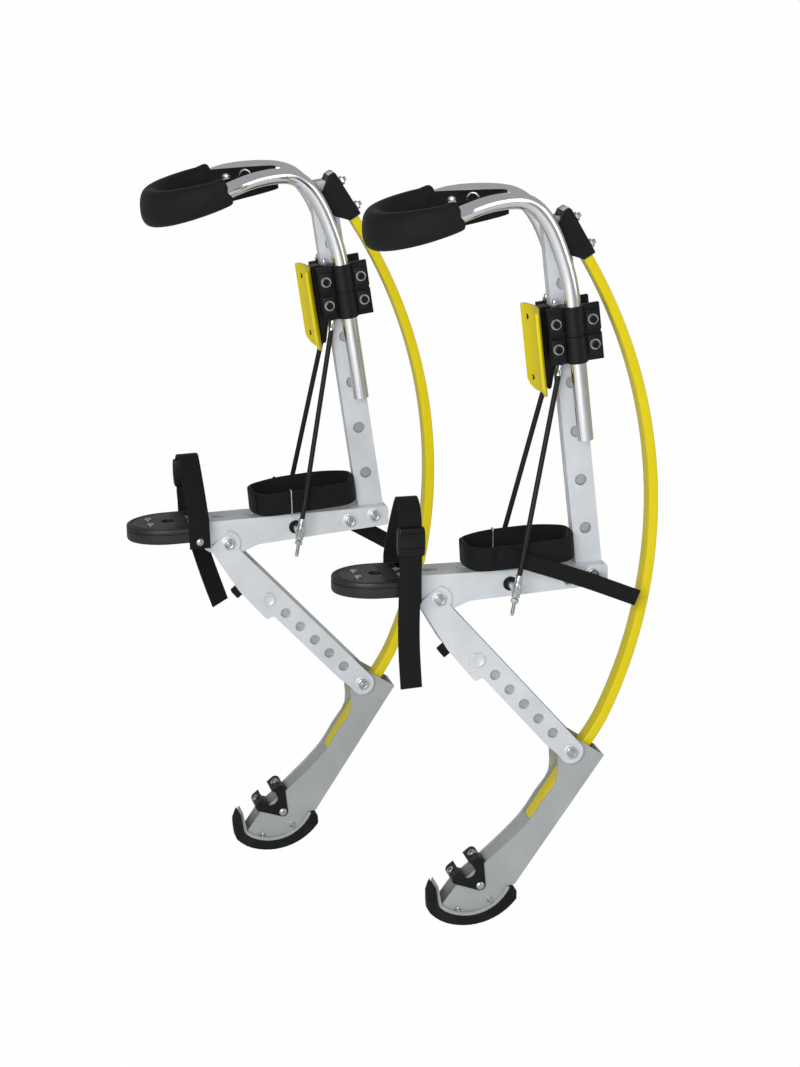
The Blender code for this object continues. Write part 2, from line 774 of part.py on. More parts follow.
def add_knee_cuff(stilt):
    # A padded band round the shin: crowned inside, rounded edges, thinner towards its wings
    section = bpy.data.curves.new("cuff_section", "CURVE")
    section.dimensions = "2D"
    spline = section.splines.new("POLY")
    half = CUFF_HEIGHT / 2
    edge = CUFF_THICK / 2
    levels = (-1.0, -0.85, -0.45, 0.0, 0.45, 0.85, 1.0)
    inner = [(edge * (0.45 if abs(level) == 1.0 else 1.0) + CUFF_CROWN * (1 - level ** 2), half * level)
             for level in levels]
    outer = [(-edge * (0.45 if abs(level) == 1.0 else 1.0), half * level) for level in (1.0, 0.85, -0.85, -1.0)]
    crowned = inner + outer
    spline.points.add(len(crowned) - 1)
    for point, place in zip(spline.points, crowned):
        point.co = (*place, 0.0, 1.0)
    spline.use_cyclic_u = True
    section_object = in_scene("cuff_section", section, Matrix())
    steps = 18
    path = []
    radii = []
    for step in range(steps + 1):
        angle = math.pi * step / steps
        y = CUFF_HALF * math.cos(angle)
        x = -CUFF_FRONT * math.sin(angle)
        rise = CUFF_RISE * (1 - math.sin(angle))
        path.append(Vector((x, -y, CUFF_Z + rise)))
        radii.append(CUFF_WING + (1 - CUFF_WING) * math.sin(angle))
    wing = cuff_wing()[0]
    path = [Vector((wing.x, -wing.y, wing.z))] + path + [wing]
    radii = [CUFF_WING] + radii + [CUFF_WING]
    cuff = tube("knee_cuff", path, 0.0, 0, Matrix(), radii, section_object)
    bpy.data.objects.remove(section_object)
    stilt.take(stilt.knee_bar, cuff, foam)


def add_knee_strap(stilt):
    # Narrows between the tubes to a fold behind the shin
    half = CUFF_HALF - CUFF_WING * (CUFF_THICK / 2 + CUFF_CROWN) - GAP - KNEE_STRAP_THICK / 2
    start = CUFF_BACK / 4
    left = [1 - math.sin(math.pi / 2 * step / 12) for step in range(13)]
    side_line = [(KNEE_STRAP_BACK - (KNEE_STRAP_BACK - start) * rest, half * (rest + math.sqrt(rest)) / 2)
                 for rest in left]
    path = [(x, -y) for x, y in side_line] + side_line[-2::-1]
    strap = flat("knee_strap", [ribbon(path, KNEE_STRAP_THICK)], KNEE_STRAP_HEIGHT,
                 Matrix.Translation((0, 0, CUFF_Z + KNEE_STRAP_RISE)) @ Matrix.Rotation(-KNEE_STRAP_SLOPE, 4, "Y"))
    stilt.take(stilt.knee_bar, strap, webbing)


# Tube clamps, calf plate and tie cables

def add_clamp(stilt, name, across):
    saddle = UPRIGHT_DEPTH / 2
    foot = UPRIGHT_WIDTH / 2 + GAP
    flange = TUBE_HALF - CLAMP_FLANGE
    outside = TUBE_RADIUS + GAP + CLAMP_WALL
    spread = math.sqrt(outside ** 2 - (CLAMP_FLANGE / 2) ** 2)
    lift = math.asin(CLAMP_FLANGE / 2 / outside)
    level = flange + CLAMP_FLANGE / 2
    bulge = arc((TUBE_BACK, level), outside, -lift + lift * 2, math.pi - lift, 14)
    front = TUBE_BACK - CLAMP_HALF
    rear = TUBE_BACK + CLAMP_HALF
    outline = [(front, flange - CLAMP_FLANGE / 2), (-saddle, flange - CLAMP_FLANGE / 2), (-saddle, foot),
               (saddle, foot), (saddle, flange - CLAMP_FLANGE / 2), (rear, flange - CLAMP_FLANGE / 2),
               (rear, flange + CLAMP_FLANGE)] + bulge + [(front, flange + CLAMP_FLANGE)]
    bore = circle((TUBE_BACK, TUBE_HALF), TUBE_RADIUS + GAP)
    loops = [[(u, across * v) for u, v in loop] for loop in (outline, bore)]
    place = upright_frame() @ Matrix.Translation((0, 0, CLAMP_FOOT + CLAMP_HEIGHT / 2))
    clamp = flat(name, loops, CLAMP_HEIGHT, place)
    stilt.take(stilt.frame, clamp, black_paint)


def add_calf_plate(stilt):
    steps = 10
    path = [(-CALF_AHEAD - CALF_HOLLOW * (y / CALF_HALF) ** 2, y)
            for y in (CALF_HALF * (2 * step / steps - 1) for step in range(steps + 1))]
    place = upright_frame() @ Matrix.Translation((0, 0, CALF_FOOT + CALF_HEIGHT / 2))
    plate = flat("calf_plate", [ribbon(path, CALF_THICK)], CALF_HEIGHT, place)
    half = CALF_HEIGHT / 2
    shape = rounded([(-CALF_HALF, -half, CALF_CORNER), (CALF_HALF, -half, CALF_CORNER),
                     (CALF_HALF, half, CALF_CORNER / 5), (-CALF_HALF, half, CALF_CORNER / 5)])
    corners = flat("corners", [shape], 4 * CALF_AHEAD, place @ axes((0, 0, 0), (0, 1, 0), (0, 0, 1)))
    combine(plate, corners, "INTERSECT")
    stilt.take(stilt.frame, plate, yellow)


def add_calf_bracket(stilt):
    front = -CALF_AHEAD + CALF_THICK / 2 + GAP
    rear = -UPRIGHT_DEPTH / 2 - GAP
    top = CALF_FOOT + CALF_HEIGHT
    foot = CALF_FOOT - CALF_ARM_TAIL
    outline = rounded([(front, foot, 0.003), (rear, CLAMP_FOOT, 0.004), (rear, top, 0.0), (front, top, 0.0)])
    arm = flat("calf_bracket", [outline], CALF_ARM_WIDTH, upright_side())
    stilt.take(stilt.frame, arm, black_paint)


def add_tie_cable(stilt, name, across):
    head, foot = cable_route(across)
    way = (head - foot).normalized()
    low = foot + way * (EYE_LENGTH / 2 + GAP)
    cable = tube(name, [head, (2 * head + low) / 3, (head + 2 * low) / 3, low], CABLE_RADIUS, 3, Matrix())
    stilt.take(stilt.frame, cable, rubber)


def add_cable_anchor(stilt):
    anchor = rod("cable_anchor", ANCHOR_RADIUS, (ANCHOR_X, -ANCHOR_HALF, ANCHOR_Z),
                 (ANCHOR_X, ANCHOR_HALF, ANCHOR_Z))
    for across in (-1, 1):
        head, foot = cable_route(across)
        way = (head - foot).normalized()
        join(anchor, rod(f"eye_{across}", EYE_RADIUS, foot - way * EYE_LENGTH / 2, foot + way * EYE_LENGTH / 2),
             rod(f"tail_{across}", EYE_TAIL_RADIUS, foot - way * (EYE_LENGTH / 2 + EYE_TAIL), foot, 10))
    stilt.take(stilt.frame, anchor, zinc)


# Straps

def across_plane(x):
    # Local X across the stilt, Y up, extruded along the foot
    return axes((x, 0, 0), (0, 1, 0), (0, 0, 1))


def strap_half():
    return PLATE_HALF + GAP + WEBBING / 2


def add_toe_strap(stilt):
    # Slack from the inner side of the plate up to a fold beside the keeper, then down through it
    half = strap_half()
    angles = [math.pi / 2 * step / 9 for step in range(10)]
    rise = stilt.strap_top - TOE_STRAP_INNER
    slack = [(TOE_STRAP_APEX - (half + TOE_STRAP_APEX) * math.cos(a) ** TOE_STRAP_BOW,
              TOE_STRAP_INNER + rise * math.sin(a) ** TOE_STRAP_BOW) for a in angles]
    rise = stilt.strap_top - TOE_STRAP_SPRINGING
    fold = [(half - (half - TOE_STRAP_APEX) * (1 - math.sin(a)), TOE_STRAP_SPRINGING + rise * math.cos(a))
            for a in angles[1:]]
    path = [(stilt.outer * y, z) for y, z in [(-half, TOE_STRAP_END)] + slack + fold + [(half, TOE_STRAP_END)]]
    strap = flat("toe_strap", [ribbon(path, WEBBING)], TOE_STRAP_WIDTH, across_plane(-TOE_STRAP_BACK))
    stilt.take(stilt.frame, strap, webbing)


def add_toe_tail(stilt):
    # Straight through the keeper, below it swung to the rear
    y = stilt.outer * (strap_half() + WEBBING / 2 + GAP + TAIL_WEBBING / 2)
    bend = TOE_STRAP_SPRINGING - KEEPER_HEIGHT - TOE_STRAP_WIDTH / 4
    swing = (bend - TOE_TAIL_END) * math.tan(stilt.tail_swing)
    path = [(-TOE_STRAP_BACK, TOE_STRAP_SPRINGING), (-TOE_STRAP_BACK, bend), (swing - TOE_STRAP_BACK, TOE_TAIL_END)]
    tail = flat("toe_strap_tail", [ribbon(path, TOE_STRAP_WIDTH)], TAIL_WEBBING, side(y=y))
    stilt.take(stilt.frame, tail, webbing)


def add_toe_keeper(stilt):
    inside = strap_half() - WEBBING / 2 - GAP
    outside = strap_half() + WEBBING / 2 + 2 * GAP + TAIL_WEBBING
    half = TOE_STRAP_WIDTH / 2 + GAP
    x = -TOE_STRAP_BACK
    top = TOE_STRAP_SPRINGING - GAP
    foot = top - KEEPER_HEIGHT
    low, high = sorted((stilt.outer * (inside - KEEPER_WALL), stilt.outer * (outside + KEEPER_WALL)))
    keeper = box("toe_keeper", (x - half - KEEPER_WALL, low, foot),
                 (x + half + KEEPER_WALL, high, top), Matrix())
    low, high = sorted((stilt.outer * inside, stilt.outer * outside))
    cut(keeper, box("strap_way", (x - half, low, -FRAME_TOP), (x + half, high, 2 * TOE_STRAP_SPRINGING), Matrix()))
    stilt.take(stilt.frame, keeper, black_plastic)


def heel_loop():
    # Oval round the ankle, rising to its rear just ahead of the upright
    level = (HEEL_STRAP_FOOT + HEEL_STRAP_HEIGHT + HEEL_STRAP_RISE - HEEL_Z) / UP.y
    rear = on_upright(-UPRIGHT_DEPTH / 2, level).x - GAP - WEBBING / 2
    rear += HEEL_STRAP_HEIGHT * HEEL_STRAP_RISE / (rear - HEEL_STRAP_FRONT)
    middle = (rear + HEEL_STRAP_FRONT) / 2
    reach = (rear - HEEL_STRAP_FRONT) / 2
    return middle, reach


def add_heel_strap(stilt):
    middle, reach = heel_loop()
    angles = [math.tau * step / 36 for step in range(36)]
    squash = 0.62
    path = [(math.copysign(abs(math.cos(a)) ** squash, math.cos(a)) * reach,
             math.copysign(abs(math.sin(a)) ** squash, math.sin(a)) * HEEL_STRAP_HALF) for a in angles]
    loops = [beside(path, WEBBING / 2, True), beside(path, -WEBBING / 2, True)]
    tilt = Matrix.Rotation(-math.asin(HEEL_STRAP_RISE / reach), 4, "Y")
    place = Matrix.Translation((middle, 0, HEEL_STRAP_FOOT + HEEL_STRAP_HEIGHT / 2)) @ tilt
    strap = flat("heel_strap", loops, HEEL_STRAP_HEIGHT, place)
    stilt.take(stilt.frame, strap, webbing)


def add_heel_tail(stilt):
    y = stilt.outer * (HEEL_STRAP_HALF + WEBBING / 2 + GAP + TAIL_WEBBING / 2)
    way = (math.cos(stilt.heel_slope), 0, -math.sin(stilt.heel_slope))
    up = (math.sin(stilt.heel_slope), 0, math.cos(stilt.heel_slope))
    half = HEEL_TAIL_WIDTH / 2
    shape = rounded([(0.0, -half, 0.0), (HEEL_TAIL_LENGTH, -half, 0.005),
                     (HEEL_TAIL_LENGTH, half, 0.005), (0.0, half, 0.0)])
    tail = flat("heel_strap_tail", [shape], TAIL_WEBBING, axes((HEEL_TAIL_START, y, HEEL_TAIL_Z), way, up))
    stilt.take(stilt.frame, tail, webbing)


# Link

def link_plane():
    return axes((0, 0, 0), (LINK_WAY.x, 0, LINK_WAY.y), (LINK_OUT.x, 0, LINK_OUT.y))


def link_top(along):
    # Height of the channel's web side above the line between the pivots
    share = (along - LINK_WEB_START) / (LINK_LENGTH - LINK_WEB_START)
    return LINK_RISE_UPPER + (LINK_RISE_LOWER - LINK_RISE_UPPER) * share


def link_hole_drop(along):
    return -LINK_HOLE_DROP * (LINK_LENGTH - along) / (LINK_LENGTH - LINK_HOLE_FIRST)


def add_link(stilt):
    ends = LINK_LENGTH - LINK_WEB_END
    step = LINK_STEP
    eye = arc((0.0, 0.0), LINK_EYE, math.radians(20), math.radians(140), 8)
    ankle = arc((LINK_LENGTH, 0.0), LINK_EYE, math.radians(-110), math.radians(80), 12)
    front = rounded([(*eye[-1], 0.0), (-LINK_END, -LINK_DROP_EYE, 0.006), (0.5 * step, -LINK_DROP_UPPER, 0.012),
                     (step - 0.003, -LINK_DROP_UPPER, 0.003), (step, -LINK_DROP_LOWER - 0.003, 0.003),
                     (ends, -LINK_DROP_LOWER + 0.002, 0.004), (*ankle[0], 0.0)])
    outline = (eye + front[1:-1] + ankle
               + [(LINK_WEB_START - 0.006, link_top(LINK_WEB_START)), (LINK_EYE + 0.006, LINK_RISE_UPPER - 0.001)])
    holes = []
    for index in range(LINK_HOLE_COUNT):
        along = LINK_HOLE_FIRST + index * LINK_HOLE_PITCH
        holes.append(circle((along, link_hole_drop(along)), LINK_HOLE_RADIUS, 8))
    holes.append(circle((LINK_PIN_ALONG, -LINK_PIN_DROP), LINK_PIN_RADIUS + PIN_GAP))
    holes.append(circle((0.0, 0.0), BOLT_RADIUS + PIN_GAP))
    holes.append(circle((LINK_LENGTH, 0.0), BOLT_RADIUS + PIN_GAP))
    link = flat("link", [outline] + holes, 2 * LINK_HALF, link_plane())
    deep = LINK_DROP_UPPER + CUT_OVER
    tall = LINK_EYE + CUT_OVER
    inside = [(-tall, -deep), (LINK_LENGTH + tall, -deep), (LINK_LENGTH + tall, tall), (ends, tall),
              (ends, link_top(ends) - LINK_WEB), (LINK_WEB_START, link_top(LINK_WEB_START) - LINK_WEB),
              (LINK_WEB_START, tall), (-tall, tall)]
    cut(link, flat("inside", [inside], 2 * (LINK_HALF - LINK_WALL), link_plane()))
    stilt.take(stilt.link, link, silver)


def add_link_pin(stilt):
    centre = on_link(LINK_PIN_ALONG, -LINK_PIN_DROP)
    half = LINK_HALF + LINK_PIN_HEAD
    pin = rod("link_pin", LINK_PIN_RADIUS, (centre.x, -half, centre.y), (centre.x, half, centre.y), 20)
    stilt.take(stilt.link, pin, silver)


def add_link_bumper(stilt):
    # A rubber post from the channel's web to below its walls
    start = BUMPER_ALONG - BUMPER_LENGTH / 2
    head = link_top(start) - LINK_WEB - GAP
    block = box("link_bumper", (start, -BUMPER_DROP, -BUMPER_HALF),
                (start + BUMPER_LENGTH, head, BUMPER_HALF), link_plane())
    stilt.take(stilt.link, block, rubber)


def add_bolt(stilt, body, name, place, half):
    reach = half + BOLT_HEAD / 2
    bolt = rod(name, BOLT_RADIUS, (place.x, -reach, place.y), (place.x, reach, place.y))
    for across in (-1, 1):
        seat = across * (half + GAP)
        join(bolt, rod(f"head_{across}", BOLT_HEAD_RADIUS, (place.x, seat, place.y),
                       (place.x, seat + across * BOLT_HEAD, place.y), 6))
    stilt.take(body, bolt, zinc)


# Leg, hoof and spring clamp

def add_leg(stilt):
    heel = on_leg(LEG_HEEL, -LEG_BACK)
    inner_rim = RIM_RADIUS - RIM_PLATE / 2
    turn = arc(HOOF, inner_rim, RIM_REAR, RIM_FRONT, 14)
    ear = on_leg(EAR_UPPER_DOWN, EAR_UPPER_AHEAD)
    slope = Vector((-math.cos(EAR_SLOPE), -math.sin(EAR_SLOPE)))
    seat = Vector((slope.y, -slope.x)) * -(EAR_RADIUS + GAP)
    upper_seat = ear - slope * EAR_RADIUS * 0.6 + seat
    lower_seat = ear + slope * (EAR_SPACING + EAR_RADIUS) + seat
    head = [on_leg(LEG_HEAD * math.sin(a), LEG_HEAD * math.cos(a))
            for a in (math.radians(50 - 140 * step / 10) for step in range(11))]
    waist = [upper_seat, on_leg(LEG_WAIST_TO + 0.034, -0.3 * LEG_WAIST), on_leg(LEG_WAIST_TO, -LEG_WAIST),
             on_leg(0.5 * (LEG_WAIST_FROM + LEG_WAIST_TO), -LEG_WAIST), on_leg(LEG_WAIST_FROM, -LEG_WAIST), head[0]]
    front = [lower_seat] + smooth([Vector((p.x, p.y, 0)) for p in waist], 3)[:-1]
    outline = [on_leg(-LEG_HEAD, -LEG_BACK), heel] + turn + front + head
    leg = narrowed(flat("leg", [[tuple(p[:2]) for p in outline], circle(ANKLE_PIVOT, BOLT_RADIUS + PIN_GAP)],
                        2 * LEG_HALF, side()))
    wall = LEG_HALF - LEG_WALL
    web = LEG_BACK - LEG_WEB
    floor = arc(HOOF, RIM_RADIUS - RIM_PLATE, RIM_REAR, RIM_FRONT, 14)
    hollow = [on_leg(-2 * LEG_BACK, -web), on_leg(LEG_HEEL - 0.004, -web)] + floor
    hollow += [Vector(floor[-1]) + Vector((-PLATE_HALF, 0)), on_leg(0, 2 * LEG_BACK), on_leg(-2 * LEG_BACK, 0)]
    cut(leg, narrowed(flat("hollow", [[tuple(p) for p in hollow]], 2 * wall, side())))
    spring_end = SPRING_FOOT_START + SPRING_FOOT
    spring_back = SPRING_INSET + SPRING_THICK / 2 + GAP
    seat_block = [on_leg(spring_end - SPRING_SEAT, -web - LEG_WEB / 2), on_leg(spring_end, -web - LEG_WEB / 2),
                  on_leg(spring_end, -spring_back), on_leg(spring_end - SPRING_SEAT, -spring_back)]
    join(leg, flat("spring_seat", [[tuple(p) for p in seat_block]], SPRING_WIDTH, side()))
    path = rim_path()
    rim = flat("rim", [ribbon(path, RIM_PLATE)], 2 * RIM_HALF + CUT_OVER, side())
    combine(rim, nosed("rim_plan", path[-1][0] - RIM_PLATE / 2, HOOF.x + RIM_RADIUS, RIM_HALF, RIM_NOSE), "INTERSECT")
    join(leg, rim)
    stilt.take(stilt.leg, leg, silver)


def sole_centre():
    # Height of the tread's centre of curvature
    return HOOF.y - RIM_RADIUS - GAP - SOLE_THICK + SOLE_RADIUS


def add_hoof_sole(stilt):
    seat = beside(rim_path(), RIM_PLATE / 2 + GAP)
    centre = (HOOF.x, sole_centre())
    front = seat[-2][0] - SOLE_END
    rear = seat[0][0] + SOLE_END
    start = -math.pi + math.acos(min(1.0, (centre[0] - front) / SOLE_RADIUS))
    end = -math.acos(min(1.0, (rear - centre[0]) / SOLE_RADIUS))
    tread = arc(centre, SOLE_RADIUS, start, end, 16)
    toe = (seat[-1][0] - SOLE_END, seat[-1][1] - 1.3 * SOLE_END)
    outline = seat + [toe] + tread + [(rear, seat[0][1] - 0.5 * SOLE_END)]
    sole = flat("hoof_sole", [outline], 2 * SOLE_HALF + CUT_OVER, side())
    combine(sole, nosed("sole_plan", toe[0], centre[0] + SOLE_RADIUS, SOLE_HALF, SOLE_NOSE), "INTERSECT")
    stilt.take(stilt.leg, sole, rubber)


def add_spring_clamp(stilt):
    upper = on_leg(EAR_UPPER_DOWN, EAR_UPPER_AHEAD)
    slope = Vector((-math.cos(EAR_SLOPE), -math.sin(EAR_SLOPE)))
    inward = Vector((-slope.y, slope.x))
    lower = upper + slope * EAR_SPACING
    tip = (upper + lower) / 2 + inward * EAR_BACK
    outline = []
    for centre, middle in ((upper, slope * -1 - inward * 0.4), (lower, slope - inward * 0.4), (tip, inward)):
        angle = math.atan2(middle.y, middle.x)
        outline += arc(centre, EAR_RADIUS, angle - math.radians(60), angle + math.radians(60), 6)
    ring = sorted(outline, key=lambda p: math.atan2(p[1] - (upper.y + lower.y + tip.y) / 3,
                                                    p[0] - (upper.x + lower.x + tip.x) / 3))
    outside = LEG_HALF + GAP + CLAMP_PLATE
    clamp = narrowed(flat("spring_clamp", [ring], 2 * outside, side()))
    between = (upper + lower) / 2
    cut(clamp, through("scoop", between, CLAMP_SCOOP))
    leg_front = [upper + inward * (EAR_RADIUS + GAP / 2) - slope * 3 * EAR_RADIUS,
                 lower + inward * (EAR_RADIUS + GAP / 2) + slope * 3 * EAR_RADIUS]
    deep = [leg_front[1] + inward * 3 * EAR_BACK, leg_front[0] + inward * 3 * EAR_BACK]
    cut(clamp, narrowed(flat("leg_way", [[tuple(p) for p in leg_front + deep]], 2 * (LEG_HALF + GAP), side())))
    stilt.take(stilt.leg, clamp, black_paint)


def add_stilt(stilt):
    add_foot_frame(stilt)
    add_toe_plate(stilt)
    add_upright(stilt)
    add_spring(stilt)
    add_top_bracket(stilt)
    for name, across in (("outer", stilt.outer), ("inner", -stilt.outer)):
        add_knee_tube(stilt, f"knee_tube_{name}", across)
        add_clamp(stilt, f"clamp_{name}", across)
        add_tie_cable(stilt, f"tie_cable_{name}", across)
    add_knee_cuff(stilt)
    add_knee_strap(stilt)
    add_calf_plate(stilt)
    add_calf_bracket(stilt)
    add_cable_anchor(stilt)
    add_toe_strap(stilt)
    add_toe_tail(stilt)
    add_toe_keeper(stilt)
    add_heel_strap(stilt)
    add_heel_tail(stilt)
    add_link(stilt)
    add_link_pin(stilt)
    add_link_bumper(stilt)
    add_leg(stilt)
    add_hoof_sole(stilt)
    add_spring_clamp(stilt)
    add_bolt(stilt, stilt.link, "link_bolt", Vector((0, 0)), LINK_HALF)
    add_bolt(stilt, stilt.leg, "leg_bolt", ANKLE_PIVOT, LINK_HALF)
    add_bolt(stilt, stilt.frame, "heel_bolt", HEEL, FRAME_WIDTH / 2)


for old in list(bpy.data.objects):
    bpy.data.objects.remove(old)
parts = bpy.data.collections.new("jumping_stilts")
cutters = bpy.data.collections.new("cutters")
bpy.context.scene.collection.children.link(parts)
bpy.context.scene.collection.children.link(cutters)
LEFT_BASE = Vector((TREAD_X, 0, -FRAME_TOP))
PITCH = Matrix.Rotation(-RIGHT_PITCH, 4, "Y")
TREAD = Vector((HOOF.x, 0, sole_centre()))
LEVEL = TREAD.z - (PITCH @ TREAD).z
RIGHT_BASE = LEFT_BASE + Vector((-PAIR_LEAD, PAIR_SPREAD, LEVEL))
add_stilt(Stilt("left", -1, Matrix.Translation(LEFT_BASE), 0.0, LEFT_STRAP_TOP, 0.0, LEFT_HEEL_SLOPE))
add_stilt(Stilt("right", 1, Matrix.Translation(RIGHT_BASE) @ PITCH, RIGHT_KNEE_DROP, RIGHT_STRAP_TOP,
                RIGHT_TAIL_SWING, RIGHT_HEEL_SLOPE))
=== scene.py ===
import bpy
import bmesh
import math
import numpy as np
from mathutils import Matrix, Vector


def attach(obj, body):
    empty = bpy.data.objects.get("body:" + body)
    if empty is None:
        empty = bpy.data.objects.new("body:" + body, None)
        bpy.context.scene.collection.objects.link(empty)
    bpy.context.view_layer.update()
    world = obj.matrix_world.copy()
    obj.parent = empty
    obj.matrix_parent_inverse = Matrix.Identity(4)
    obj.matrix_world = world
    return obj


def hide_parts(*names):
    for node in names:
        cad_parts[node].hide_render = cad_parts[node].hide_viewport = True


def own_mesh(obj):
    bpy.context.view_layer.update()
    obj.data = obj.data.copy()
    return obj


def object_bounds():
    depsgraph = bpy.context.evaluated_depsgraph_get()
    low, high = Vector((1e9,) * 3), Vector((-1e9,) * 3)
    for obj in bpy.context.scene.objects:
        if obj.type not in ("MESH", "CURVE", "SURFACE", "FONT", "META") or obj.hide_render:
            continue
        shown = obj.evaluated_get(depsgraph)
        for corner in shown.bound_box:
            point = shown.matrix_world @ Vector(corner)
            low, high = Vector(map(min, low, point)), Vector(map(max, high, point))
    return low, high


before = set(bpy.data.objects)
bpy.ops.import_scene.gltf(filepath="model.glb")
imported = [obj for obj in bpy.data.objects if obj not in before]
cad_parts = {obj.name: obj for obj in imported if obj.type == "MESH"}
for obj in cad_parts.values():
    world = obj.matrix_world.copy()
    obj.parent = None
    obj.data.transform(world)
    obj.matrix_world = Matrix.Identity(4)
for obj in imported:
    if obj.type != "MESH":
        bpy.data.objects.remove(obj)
cadBox = [list(corner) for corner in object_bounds()]


# where each stilt stands: its link pivot, its lean to the toes in degrees, and what differs between the two

def standing(place, lean):  # turn about Y, then shift
    c, s = math.cos(math.radians(lean)), math.sin(math.radians(lean))
    return np.array(((c, 0, -s, place[0]), (0, 1, 0, place[1]), (s, 0, c, place[2]), (0, 0, 0, 1)))


stilts = {
    "left": {"stand": standing((0.048, 0.0, -0.030), 0.0), "outer": -1.0, "kneeDrop": 0.0,
             "strapTop": 0.129, "tailSwing": 0.0, "tailTwist": 0.0, "heelSlope": 20.8},
    "right": {"stand": standing((-0.160, 0.308, -0.0316003), 1.95), "outer": 1.0, "kneeDrop": 0.011,
              "strapTop": 0.109, "tailSwing": 13.0, "tailTwist": 28.0, "heelSlope": 31.5},
}


# camera and studio

studio = {
    "eye": (-0.768, -3.451, 1.034), "heading": 12.63, "dip": 15.58,  # degrees
    "focal": 3020.4, "photoWidth": 800, "sensor": 36.0,  # pixels, pixels, mm
    "floor": (0.93, 0.93, 0.93), "floorGlow": 0.99, "reach": 60.0, "sky": 0.34, "gloss": 0.40,
    "lamps": {  # place, aim, size, watts
        "key": ((-1.7, -3.1, 1.25), (0.0, 0.1, 0.05), 2.0, 95.0),
        "fill": ((2.6, -1.4, 0.9), (0.0, 0.1, 0.0), 1.8, 14.0),
    },
}


def addCamera():
    heading, dip = math.radians(studio["heading"]), math.radians(studio["dip"])
    way = Vector((math.cos(dip) * math.sin(heading), math.cos(dip) * math.cos(heading), -math.sin(dip)))
    lens = bpy.data.cameras.new("camera")
    lens.sensor_fit = "HORIZONTAL"
    lens.sensor_width = studio["sensor"]
    lens.lens = studio["focal"] / studio["photoWidth"] * studio["sensor"]
    lens.clip_end = 200
    camera = bpy.data.objects.new("camera", lens)
    camera.location = studio["eye"]
    camera.rotation_euler = way.to_track_quat("-Z", "Y").to_euler()
    bpy.context.scene.collection.objects.link(camera)
    bpy.context.scene.camera = camera


def addLamps():
    for name, (place, aim, size, watts) in studio["lamps"].items():
        lamp = bpy.data.lights.new(name, "AREA")
        lamp.size = size
        lamp.energy = watts
        thing = bpy.data.objects.new(name, lamp)
        thing.location = place
        thing.rotation_euler = (Vector(aim) - Vector(place)).to_track_quat("-Z", "Y").to_euler()
        bpy.context.scene.collection.objects.link(thing)


def addSky():  # white to the camera, dimmer as a light and in reflections
    sky = Shade("studio", "worlds", "Background", Color=(1, 1, 1))
    path = sky.node("LightPath", out="Is Camera Ray")
    seen = sky.sum("MAXIMUM", path, path.other("Is Transmission Ray"))
    dim = sky.span(path.other("Is Glossy Ray"), 0.0, 1.0, studio["sky"], studio["gloss"])
    sky.put("Strength", sky.span(seen, 0.0, 1.0, dim, 1.0))
    bpy.context.scene.world = sky.owner


# materials

class Val:  # a shader value: operators on it add Math nodes
    def __init__(self, shade, socket):
        self.shade, self.socket = shade, socket

    def __add__(self, other):
        return self.shade.sum("ADD", self, other)

    def __sub__(self, other):
        return self.shade.sum("SUBTRACT", self, other)

    def __rsub__(self, other):
        return self.shade.sum("SUBTRACT", other, self)

    def __mul__(self, other):
        return self.shade.sum("MULTIPLY", self, other)

    __radd__, __rmul__ = __add__, __mul__

    def other(self, out):  # another output of the same node
        return Val(self.shade, self.socket.node.outputs[out])


class Shade:  # the nodes of one material, or of the world
    def __init__(self, name, kind="materials", body="Principled BSDF", **constants):
        self.owner = getattr(bpy.data, kind).new(name)
        self.owner.use_nodes = True
        self.tree = self.owner.node_tree
        self.body = self.tree.nodes[body]
        for key, value in constants.items():
            self.put(key, value)

    def node(self, kind, settings=None, inputs=None, out=0):
        made = self.tree.nodes.new("ShaderNode" + kind)
        for key, value in (settings or {}).items():
            setattr(made, key, value)
        for key, value in (inputs or {}).items():
            self.feed(made.inputs[key], value)
        return Val(self, made.outputs[out])

    def feed(self, socket, value):
        if isinstance(value, Val):
            self.tree.links.new(value.socket, socket)
        elif isinstance(value, (tuple, list)) and socket.type == "RGBA" and len(value) == 3:
            socket.default_value = (*value, 1.0)
        else:
            socket.default_value = value

    def put(self, key, value):
        self.feed(self.body.inputs[key.replace("_", " ")], value)

    def sum(self, operation, first, second):
        return self.node("Math", {"operation": operation}, {0: first, 1: second})

    def place(self, scale=(1, 1, 1)):
        spot = self.node("TexCoord", out="Object")
        return self.node("Mapping", None, {"Vector": spot, "Scale": scale})

    def noise(self, scale, detail=3.0, rough=0.55, place=None):
        inputs = {"Vector": place or self.place(), "Scale": scale, "Detail": detail, "Roughness": rough}
        return self.node("TexNoise", None, inputs)

    def span(self, value, low, high, first=0.0, last=1.0):
        ends = {"Value": value, "From Min": low, "From Max": high, "To Min": first, "To Max": last}
        return self.node("MapRange", {"clamp": True}, ends)

    def mix(self, share, first, second):
        return self.node("Mix", {"data_type": "RGBA"}, {"Factor": share, 6: first, 7: second}, out=2)

    def bump(self, height, strength, distance):
        shape = self.node("Bump", None, {"Height": height, "Strength": strength, "Distance": distance})
        self.put("Normal", shape)


def silverPaint(name, tint):  # satin silver paint with fine flake and a little handling wear
    shade = Shade(name, Metallic=0.35, Specular_IOR_Level=0.35)
    cloud = shade.noise(22.0, 4.0)
    flake = shade.noise(2600.0, 1.0)
    dark, light, worn = (tuple(share * part for part in tint) for share in (0.94, 1.04, 0.72))
    tone = shade.mix(shade.span(cloud, 0.35, 0.7), dark, light)
    scuff = shade.span(shade.noise(150.0, 6.0, 0.7), 0.66, 0.80)
    shade.put("Base Color", shade.mix(scuff, tone, worn))
    shade.put("Roughness", shade.span(cloud, 0.3, 0.75, 0.34, 0.46) + flake * 0.05)
    shade.bump(flake, 0.10, 0.0004)
    return shade.owner


